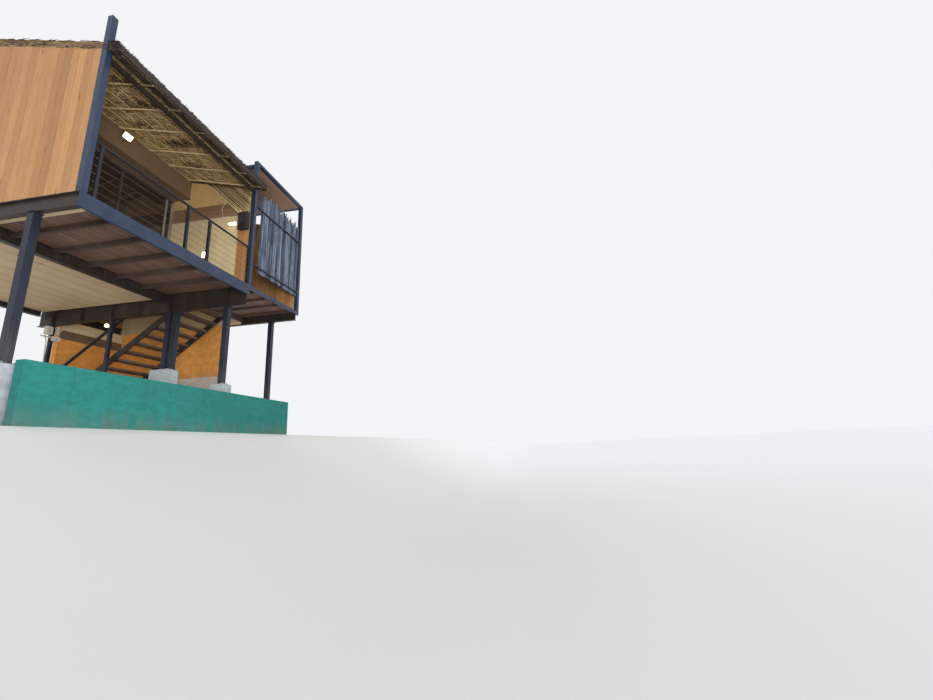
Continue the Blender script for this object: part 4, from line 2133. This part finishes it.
@dataclass
class ThatchRoof:
    """Thatch on bamboo rafters and split laths, under a saddle of bundled straw.

    Attributes:
        rafters: Place of each rafter along the front.
        tail: How far the rafters stand out over the front.
        batten_pitch: Distance between two laths.
        sticks: Where the sticks between two laths lie, from the first of them.
        saddle_t: Thickness of the saddle over the thatch.
        bundles: Number of its bundles.
        ridge_sticks: Where its long sticks lie, from -1 to 1 across it.
        pins: Number of pairs of short sticks that pin it.
        pin_u: Place of the first pair, and how far each of its sticks leans.
        pin_pitch: Distance between two pairs.
        pin_ends: Where a short stick ends, as shares of half the saddle.
    """

    rafters: tuple[float, ...] = (0.64, 1.23, 1.82, 2.55, 3.14, 3.70)
    tail: float = 0.215
    batten_pitch: float = 0.30
    sticks: Pair = (0.10, 0.20)
    saddle_t: float = 0.06
    bundles: int = 76
    ridge_sticks: tuple[float, ...] = (-0.72, -0.36, 0.36, 0.72)
    pins: int = 12
    pin_u: Pair = (0.12, 0.10)
    pin_pitch: float = 0.33
    pin_ends: Pair = (0.3, 0.8)

    def build(self) -> None:
        """Builds the roof from its poles up."""
        dress("roof_beams", Finish.GIRDER_STEEL, 0.003)
        self._rafters()
        self._laths()
        Slope("front", 31).build()
        Slope("back", 47).build()
        self._saddle()

    def _rafters(self) -> None:
        """Thin bamboo poles with swollen nodes, each bent a little, lashed to the laths."""
        p, poles, cords = PLAN, Shape(), Shape()
        draw, steps = random.Random(5), 90
        for back in (False, True):
            for u in self.rafters:
                path, sizes = [], []
                phase, gap = draw.uniform(0, 6), draw.uniform(0.24, 0.33)
                bend = draw.uniform(0.012, 0.026)
                for k in range(steps + 1):
                    v = -self.tail + (p.house_d / 2 + self.tail) * k / steps
                    swell = math.exp(-((((v + phase) / gap) % 1.0 - 0.5) / 0.035) ** 2)
                    sway = bend * math.sin(1.3 * v + phase) + 0.004 * math.sin(5.1 * v + phase)
                    sag = 0.007 * math.sin(2.1 * v + phase) ** 2
                    middle = p.rafter_under(v) + p.rafter_d / 2 - 0.5 * sag
                    path.append((u + sway, p.on_slope(v, back), middle))
                    sizes.append(p.rafter_d / 2 * (0.87 + 0.10 * swell - 0.08 * (k < 4)))
                poles.tube(path, sizes, 10)
                for x, y, z in path[4:steps:9]:
                    ring = [(x + 0.020 * math.cos(a), y + 0.004 * math.sin(2 * a),
                             z + 0.019 * math.sin(a)) for a in np.linspace(0, 2 * math.pi, 13)]
                    cords.tube(ring, 0.0028, 5)
        poles.piece("rafter_poles", Finish.POLE, "pole", ["rafters"], smooth=True)
        cords.piece("pole_lashings", Finish.LATH, "pole")

    def _laths(self) -> None:
        """Narrow split laths, uneven and slightly bowed, with thin sticks between them."""
        p, laths, sticks = PLAN, Shape(), Shape()
        draw, steps = random.Random(6), 26
        u0, u1 = p.post_s / 2 + 0.002, p.bay_w - p.post_s / 2 - 0.002
        count = int((p.house_d / 2 + p.overhang * 0.8) / self.batten_pitch)
        for back in (False, True):
            for i in range(count):
                v = -p.overhang * 0.8 + i * self.batten_pitch + 0.016
                width, sway = draw.uniform(0.007, 0.011), draw.uniform(0.002, 0.007)
                phase = draw.uniform(0, 6)
                points: list[Spot] = []
                for k in range(steps + 1):
                    u = u0 + (u1 - u0) * k / steps
                    middle = v + sway * math.sin(3.3 * u + phase)
                    half = width * (1 + 0.12 * math.sin(11 * u + phase))
                    for a, b in ((-1, 0), (1, 0), (0.7, 1), (-0.7, 1)):
                        x = middle + a * half
                        z = p.batten_under(x) + 0.002 + b * p.batten_t * 0.88
                        points.append((u, p.on_slope(x, back), z))
                laths.add(points, ringed(steps + 1, 4))
                for shift in self.sticks:
                    x = v + shift + draw.uniform(-0.012, 0.012)
                    path = []
                    for k in range(steps + 1):
                        u = u0 + (u1 - u0) * k / steps
                        y = x + 0.008 * math.sin(2.4 * u + phase * (1 + shift))
                        path.append((u, p.on_slope(y, back), p.thatch_under(y) - 0.003))
                    sticks.tube(path, draw.uniform(0.0028, 0.0042), 6)
        laths.piece("split_laths", Finish.LATH, "pole", ["battens"])
        sticks.piece("thatch_sticks", Finish.LATH, "pole", smooth=True)

    def _crown(self, s: float) -> float:
        """Height of the saddle's top.

        Args:
            s: Place across the saddle, from -1 to 1.

        Returns:
            The height there.
        """
        p = PLAN
        ridge = p.thatch_top(p.house_d / 2) - p.slope * p.saddle_half * s * s
        return ridge + self.saddle_t * (1.4 - 0.4 * s * s)

    def _saddle(self) -> None:
        """Ridge of bundled straw, bent over both slopes and pinned with sticks."""
        p, bundles, sticks = PLAN, Shape(), Shape()
        half, mid, draw = p.saddle_half, p.house_d / 2, random.Random(9)
        width = (p.bay_w + p.wall_t) / self.bundles
        for i in range(self.bundles):
            u = -p.wall_t / 2 + (i + 0.5) * width
            reach, lift = 1.0 + draw.uniform(-0.06, 0.10), draw.uniform(-0.016, -0.004)
            path = []
            for k in range(13):
                s = (-1 + k / 6) * reach
                drop = 0.36 * max(0.0, abs(s) - 0.92)
                path.append((u + draw.uniform(-0.003, 0.003), mid + s * half,
                             self._crown(s) - 0.030 + lift - drop))
            bundles.tube(path, [0.020, *[0.030] * 11, 0.020], 7)
        roof = [(mid + s * half, p.thatch_top(mid + s * half) - 0.004) for s in (-1, 0, 1)]
        crown = [(mid + s * half, self._crown(s) - 0.04) for s in (0.5, 0, -0.5)]
        bundles.extrude([*roof, *crown], Lie.ACROSS, -p.wall_t / 2 + 0.01,
                        p.bay_w + p.wall_t / 2 - 0.01)
        bundles.piece("ridge_bundles", Finish.STRAW_BED, "thatch_straw", ["ridge_saddle"], smooth=True)
        for s in self.ridge_sticks:
            run = [(u, mid + s * half, self._crown(s) - 0.006)
                   for u in np.linspace(-0.03, p.bay_w + 0.03, 12)]
            sticks.tube(run, 0.008, 7)
        (first, lean), (inner, outer) = self.pin_u, self.pin_ends
        for i in range(self.pins):
            u = first + i * self.pin_pitch
            for sign in (-1, 1):
                ends = [(u + shift, mid + sign * place * half, self._crown(place) - 0.002)
                        for shift, place in ((0.0, inner), (lean, outer))]
                sticks.tube(ends, 0.006, 6)
        sticks.piece("ridge_sticks", Finish.POLE, "pole", smooth=True)


@dataclass
class FlatRoof:
    """Flat ribbed roof over the stair bay, with its frame, boarded underside and roofing screws."""

    rib: float = 0.15
    frame_w: float = 0.1
    lining_z: Pair = (0.004, 0.028)

    def build(self) -> None:
        """Dresses the frame and sheet, and adds the boards and screws."""
        dress("flat_roof_frame", Finish.FASCIA_STEEL, 0.003)
        dress("flat_roof_sheet", Finish.ROOF_SHEET)
        p, lining, screws = PLAN, Shape(), Shape()
        u0, u1 = p.hall_u0 + self.frame_w, p.unit_w + p.post_s / 2 - self.frame_w
        v0, v1 = self.frame_w, p.house_d - self.frame_w
        under, over = (p.flat_roof_z + z for z in self.lining_z)
        boards = BoardWall(Lie.UPWARD, under, over, joint=0.003, upright=False, lap=0.001)
        boards.cover(lining, oblong((u0, u1), (v0, v1)), random.Random(25))
        lining.piece("roof_lining", Finish.LINING, "dark_board")
        count = round((v1 - v0) / self.rib)
        top = p.flat_roof_z + p.flat_frame_h
        for i in range(count):
            v = v0 + (i + 0.75) * (v1 - v0) / count
            for k in range(1, 4):
                screws.bolt((u0 + (u1 - u0) * k / 4, v, top), (0, 0, 1), 0.008)
        screws.piece("roofing_screws", Finish.FIXING, "roof_sheet")


@dataclass
class Fittings:
    """Deck lamp, floodlight, wall lamp, stair lamp, junction boxes and meter box.

    Attributes:
        deck_lamp: Place of the deck lamp along the front and inwards.
        flood_u: Place of the floodlight along the front.
        flood_tilt: Its tilt towards the balcony.
        flood_hub: How far its hub stands before the bulkhead, and over the bulkhead's foot.
        flood_half: Half its housing's width and height.
        fins: Number of its fins.
        fin_pitch: Distance between two fins.
        wall_lamp_v: Extent of the wall lamp inwards.
        wall_lamp_z: Its extent up.
        stair_lamp: Where the stair lamp meets its stilt.
        bulb_r: Radius of its bulb.
        box_low: Lowest corner of the meter box.
        box_high: Its highest corner.
        louvres: Number of louvres in its door.
        louvre_pitch: Distance between two louvres.
        lamp_foot: Outline of the deck lamp's foot, as radius and height.
        lamp_jar: Outline of its glass.
        lamp_cap: Outline of its cap.
        lamp_holder: Outline of the stair lamp's holder.
        pipe_v: Depth of the slim back stilt's front face.
        boxes: Extent of each junction box along the front and up.
        pipes: Shift inwards, radius, points between bends, and bends of each pipe.
    """

    deck_lamp: Pair = (2.53, 0.122)
    flood_u: float = 1.935
    flood_tilt: float = math.radians(35)
    flood_hub: Pair = (0.09, 0.35)
    flood_half: Pair = (0.100, 0.070)
    fins: int = 9
    fin_pitch: float = 0.022
    wall_lamp_v: Pair = (0.44, 0.68)
    wall_lamp_z: Pair = (5.195, 5.33)
    stair_lamp: Spot = (3.8325, 3.79, 2.835)
    bulb_r: float = 0.045
    box_low: Spot = (3.71, 0.11, 5.04)
    box_high: Spot = (3.82, 0.36, 5.50)
    louvres: int = 5
    louvre_pitch: float = 0.018
    lamp_foot: Outline = ((0.038, 0), (0.038, 0.006), (0.032, 0.012), (0.030, 0.070),
                          (0.036, 0.084), (0.038, 0.094))
    lamp_jar: Outline = ((0.036, 0.092), (0.0445, 0.115), (0.0448, 0.150), (0.0445, 0.195),
                         (0.040, 0.222), (0.030, 0.236))
    lamp_cap: Outline = ((0.033, 0.232), (0.036, 0.238), (0.034, 0.252), (0.020, 0.262))
    lamp_holder: Outline = ((0.026, 0), (0.026, 0.008), (0.021, 0.012), (0.020, 0.020))
    pipe_v: float = 5.5325
    boxes: tuple[tuple[Pair, Pair], ...] = (
        ((3.690, 3.831), (2.77, 2.975)), ((3.909, 3.975), (2.80, 3.00)), ((3.85, 4.03), (2.62, 2.735)))
    pipes: tuple[tuple[float, float, int, Outline], ...] = (
        (0.0, 0.010, 4, ((3.94, 2.79), (3.94, 2.765), (3.96, 2.745), (4.0, 2.732))),
        (-0.01, 0.011, 4, ((3.99, 2.73), (3.99, 2.80), (4.00, 2.86), (4.06, 2.95), (4.09, 3.02))),
        (-0.02, 0.012, 5, ((3.70, 2.77), (3.69, 2.70), (3.72, 2.64), (3.74, 2.50), (3.78, 1.62))))

    def __post_init__(self) -> None:
        """Starts the shapes that the lamps share."""
        self.glass = Shape()
        self.dark = Shape()
        self.pale = Shape()

    def build(self) -> None:
        """Builds the lamps and the box."""
        self._deck_lamp()
        self._floodlight()
        self._wall_lamp()
        self._stair_lamp()
        self._junction_boxes()
        self.glass.piece("lamp_glasses", Finish.LAMP, "lamp_glass", ["lamps"], smooth=True)
        self.dark.piece("lamp_bodies", Finish.LAMP_BODY, "dark_box", bevel=0.001)
        self.pale.piece("lamp_housings", Finish.DOOR_FRAME, "door_frame", bevel=0.001)
        self._meter_box()

    def _deck_lamp(self) -> None:
        """Glass jar on a turned foot behind the rail post, under a dark cap with a ring."""
        u, v = self.deck_lamp
        foot = (u, v, PLAN.deck_z)
        for shape, outline, sides in ((self.dark, self.lamp_foot, 20), (self.glass, self.lamp_jar, 24),
                                      (self.dark, self.lamp_cap, 20)):
            shape.turned(foot, (0, 0, 1), outline, sides)
        ring = [(u + 0.011 * math.cos(a), v, PLAN.deck_z + 0.263 + 0.011 * math.sin(a))
                for a in np.linspace(0, 2 * math.pi, 15)]
        self.dark.tube(ring, 0.002, 6)

    def _slab(self, shape: Shape, low: Spot, high: Spot) -> None:
        """Adds a box of the floodlight's housing, tilted about its hub.

        Args:
            shape: Where it goes.
            low: Lowest corner before the tilt.
            high: Highest corner before the tilt.
        """
        turn = Matrix.Rotation(self.flood_tilt, 3, "X")
        out, up = self.flood_hub
        hub = Vector((self.flood_u, PLAN.bulkhead_v - out, PLAN.bulkhead_z + up))
        corners = [hub + turn @ Vector((x, y, z)) for z in (low[2], high[2])
                   for x, y in oblong((low[0], high[0]), (low[1], high[1]))]
        shape.add(corners, ringed(2, 4))

    def _floodlight(self) -> None:
        """Finned housing on a stirrup, tilted down to the balcony."""
        (wide, tall), rim = self.flood_half, 0.010
        pane, inner = wide - rim, tall - rim
        self._slab(self.dark, (-wide, -0.020, -tall), (wide, 0.022, tall))
        for i in range(self.fins):
            u = (i - (self.fins - 1) / 2) * self.fin_pitch
            self._slab(self.dark, (u - 0.003, 0.022, -inner), (u + 0.003, 0.035, inner))
        self._slab(self.glass, (-pane, -0.028, -inner), (pane, -0.019, inner))
        for low, high in ((inner, tall), (-tall, -inner)):
            self._slab(self.dark, (-wide, -0.034, low), (wide, -0.019, high))
        u, wall, z = self.flood_u, PLAN.bulkhead_v, PLAN.bulkhead_z + 0.36
        self.dark.box((u - 0.04, wall - 0.012, z - 0.03), (u + 0.04, wall, z + 0.03))
        self.dark.tube([(u, wall - 0.01, z), (u, wall - 0.08, z)], 0.014, 10)

    def _wall_lamp(self) -> None:
        """Half-round glass under a pale housing on a back plate."""
        u, (v0, v1), (z0, z1) = PLAN.bay_u1, self.wall_lamp_v, self.wall_lamp_z
        self.pale.box((u - 0.010, v0, z0), (u, v1, z1))
        self.pale.extrude([(u - 0.062, z0 + 0.082), (u - 0.008, z0 + 0.076), (u - 0.008, z1 - 0.006),
                           (u - 0.040, z1 - 0.006)], Lie.INWARD, v0 + 0.004, v1 - 0.004)
        middle, radius = z0 + 0.055, 0.020
        turns = np.linspace(0, math.pi, 13)
        arc = [(u - 0.010 - 0.050 * math.sin(a), middle - radius * math.cos(a)) for a in turns]
        self.glass.extrude(arc, Lie.INWARD, v0 + 0.010, v1 - 0.010)
        cap = [(u - 0.008 - 0.054 * math.sin(a), middle - 1.15 * radius * math.cos(a)) for a in turns]
        for v in (v0 + 0.002, v1 - 0.012):
            self.pale.extrude(cap, Lie.INWARD, v, v + 0.010)

    def _stair_lamp(self) -> None:
        """Bulb in a holder on the near face of the lamp stilt."""
        u, v, z = self.stair_lamp
        self.dark.box((u - 0.028, v - 0.030, z - 0.040), (u, v + 0.030, z + 0.040))
        self.dark.turned((u - 0.027, v, z), (-1, 0, 0), self.lamp_holder, 16)
        bulb = [(0.019, 0.0)] + [(self.bulb_r * math.sin(a), 0.036 - self.bulb_r * math.cos(a))
                                 for a in np.linspace(0.75, math.pi, 12)]
        self.glass.turned((u - 0.043, v, z), (-1, 0, 0), bulb, 20)

    def _junction_boxes(self) -> None:
        """Pale boxes at the head of the slim back stilt, with their lids, glands and bent pipes."""
        shape, v = self.pale, self.pipe_v
        for (u0, u1), (z0, z1) in self.boxes:
            gland = ((u0 + u1) / 2, v - 0.057, (z0 + z1) / 2)
            shape.box((u0, v - 0.050, z0), (u1, v + 0.045, z1))
            shape.box((u0 + 0.006, v - 0.058, z0 + 0.006), (u1 - 0.006, v - 0.048, z1 - 0.006))
            self.dark.turned(gland, (0, -1, 0), [(0.012, 0), (0.012, 0.004)], 10)
        for shift, radius, steps, bends in self.pipes:
            shape.tube(smoothed([(u, v + shift, z) for u, z in bends], steps), radius, 8)
        shape.box((3.60, v - 0.035, 2.69), (3.832, v, 2.715))

    def _meter_box(self) -> None:
        """Steel box with a lapped door, knuckle hinges, a turn latch and louvres."""
        shape, (u0, v0, z0), (u1, v1, z1) = Shape(), self.box_low, self.box_high
        shape.box((u0 + 0.010, v0, z0), (u1, v1, z1 - 0.004))
        shape.box((u0, v0 + 0.006, z0 + 0.006), (u0 + 0.012, v1 - 0.006, z1 - 0.010))
        for z in (z0 + 0.09, z1 - 0.13):
            shape.tube([(u0 + 0.008, v1 - 0.004, z), (u0 + 0.008, v1 - 0.004, z + 0.05)], 0.006, 8)
        latch = (u0 + 0.001, v0 + 0.03, (z0 + z1) / 2)
        shape.turned(latch, (-1, 0, 0), [(0.012, -0.002), (0.012, 0.0)], 12)
        hood = [(v0, z1 - 0.012), (v1, z1 - 0.012), (v1 - 0.03, z1), (v0 + 0.03, z1)]
        shape.extrude(hood, Lie.ACROSS, u0, u1)
        for i in range(self.louvres):
            z = z0 + 0.07 + i * self.louvre_pitch
            shape.box((u0, v0 + 0.06, z), (u0 + 0.014, v1 - 0.06, z + 0.008))
        shape.piece("meter_box_case", Finish.BOX, "dark_box", ["meter_box"], bevel=0.003)


# Stage, light and camera


@dataclass
class Studio:
    """Pale floor that falls away like the bank, soft even light, and the photograph's viewpoint.

    Attributes:
        wall_y: Depth at which the level floor under the house ends.
        bank: Length of the bank before it.
        near_z: Height of the floor in front of the bank.
        extent: How far the floor reaches each way.
        floor: Colour of the floor.
        sky: Colour of the background.
        lit: Strength of the even light.
        haze: What the far floor gains, so that it fades into the background.
        hazy: One over the distance at which the haze is full, and at which it starts.
        eye: Where the camera stands.
        right: Direction to the right of its picture.
        up: Direction to the top of its picture.
        lens: Its focal length in millimetres.
    """

    wall_y: float = -2.75
    bank: float = 7.0
    near_z: float = -2.3
    extent: float = 300.0
    floor: Colour = (0.82, 0.82, 0.81)
    sky: Colour = (0.90, 0.91, 0.93)
    lit: float = 0.75
    haze: Colour = (0.135, 0.147, 0.167)
    hazy: Pair = (0.012, 0.125)
    eye: Spot = (-7.65, -9.466, -0.55)
    right: Spot = (0.149699, -0.987460, -0.050150)
    up: Spot = (-0.218188, -0.082463, 0.972417)
    lens: float = 36.0 * 408.17 / 933.0

    def _fall(self, y: float) -> float:
        """Height of the floor at y."""
        share = min(1.0, max(0.0, (self.wall_y - 0.02 - y) / self.bank))
        return self.near_z * share * (2 - share)

    def _floor(self) -> bpy.types.Object:
        """Builds the floor.

        Returns:
            The floor.
        """
        bank = np.linspace(-9.8, self.wall_y, 40)
        ys = [-self.extent, -60.0, -14.0, *bank, 10.0, 60.0, self.extent]
        points = [(x, y, self._fall(y)) for y in ys for x in (-self.extent, self.extent)]
        faces = [(2 * i, 2 * i + 1, 2 * i + 3, 2 * i + 2) for i in range(len(ys) - 1)]
        mesh = bpy.data.meshes.new("studio_floor")
        mesh.from_pydata(points, [], faces)
        mesh.shade_smooth()
        mesh.materials.append(self._floor_finish())
        floor = bpy.data.objects.new("studio_floor", mesh)
        bpy.context.scene.collection.objects.link(floor)
        return floor

    def _floor_finish(self) -> bpy.types.Material:
        """Builds a pale matt finish with faint clouds, which fades into the background far away.

        Returns:
            The material.
        """
        sheet = Sheet("pale_floor")
        where = sheet.place()
        x, y, _ = sheet.axes(where)
        clouds = sheet.noise(where, 0.5, 2.0) * 0.3
        far = 1.0 - ((x * x + y * y + 1.0) ** -0.5).spread(*self.hazy)
        return sheet.close(
            Base_Color=sheet.mix(clouds, self.floor, times(self.floor, 0.96)), Roughness=0.95,
            Emission_Color=sheet.mix(far * sheet.seen(), BLACK, self.haze), Emission_Strength=1.0)

    def _world(self) -> None:
        """Even light from all round, and a pale background."""
        sheet = Sheet("studio", world=True)
        lit, shown = (
            sheet.node("ShaderNodeBackground", None, {"Color": (*colour, 1.0), "Strength": strength})
            for colour, strength in ((WHITE, self.lit), (self.sky, 1.0)))
        mixed = sheet.node("ShaderNodeMixShader", None, {0: sheet.seen(), 1: lit, 2: shown})
        sheet.node("ShaderNodeOutputWorld", None, {"Surface": mixed})
        bpy.context.scene.world = sheet.owner

    @staticmethod
    def _lamp(name: str, kind: str, spot: Spot, target: Spot, power: float,
              size: float) -> bpy.types.Object:
        """Adds one lamp that the camera doesn't see.

        Args:
            name: Its name.
            kind: SUN or AREA.
            spot: Where it stands.
            target: What it points at.
            power: Strength, or watts.
            size: Angle of a sun, or side of an area in metres.

        Returns:
            The lamp.
        """
        data = bpy.data.lights.new(name, kind)
        data.energy = power
        if kind == "SUN":
            data.angle = size
        else:
            data.size = size
        lamp = bpy.data.objects.new(name, data)
        lamp.location = spot
        lamp.rotation_euler = (Vector(target) - Vector(spot)).to_track_quat("-Z", "Y").to_euler()
        lamp.visible_camera = False
        bpy.context.scene.collection.objects.link(lamp)
        return lamp

    def _camera(self) -> None:
        """The camera at the photograph's place, turned as the photograph was."""
        data = bpy.data.cameras.new("photo_view")
        data.sensor_width = 36.0
        data.lens = self.lens
        data.clip_start = 0.05
        data.clip_end = 900.0
        camera = bpy.data.objects.new("photo_view", data)
        right, up = Vector(self.right), Vector(self.up)
        turn = Matrix((right, up, right.cross(up))).transposed().to_4x4()
        camera.matrix_world = Matrix.Translation(self.eye) @ turn
        bpy.context.scene.collection.objects.link(camera)
        bpy.context.scene.camera = camera

    def build(self) -> None:
        """Sets up floor, light and camera."""
        bpy.context.scene.view_settings.view_transform = "Standard"
        self._camera()
        floor = self._floor()
        self._world()
        self._lamp("key", "SUN", (-12, -14, 12), (0, 0, 3), power=0.8, size=0.5)
        fill = self._lamp("low_fill", "AREA", (-9.5, -12.5, 0.0), (0.0, -1.0, 4.6),
                          power=1400.0, size=4.4)
        # So low a lamp would light one patch of the floor far too much, so the floor gets none of it
        unlit = bpy.data.collections.new("left_dark_by_fill")
        unlit.objects.link(floor)
        unlit.collection_objects[0].light_linking.link_state = "EXCLUDE"
        fill.light_linking.receiver_collection = unlit


def main() -> None:
    """Builds the house from the ground up, then the studio."""
    logging.basicConfig(level=logging.INFO, format="%(name)s: %(message)s")
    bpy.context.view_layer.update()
    parts: list[tuple[str, Callable[[], None]]] = [
        ("camera, floor and light", Studio().build),
        ("ground works", GroundWorks().build),
        ("stilts", Stilts().build),
        ("deck frame", DeckFrame().build),
        ("decking", Decking().build),
        ("stair", Stair().build),
        ("walls", Walls().build),
        ("room front", RoomFront().build),
        ("screen", Screen().build),
        ("rails", Rails().build),
        ("thatched roof", ThatchRoof().build),
        ("flat roof", FlatRoof().build),
        ("fittings", Fittings().build),
    ]
    for title, build in parts:
        build()
        LOG.info("built %s", title)


if __name__ == "__main__":
    main()
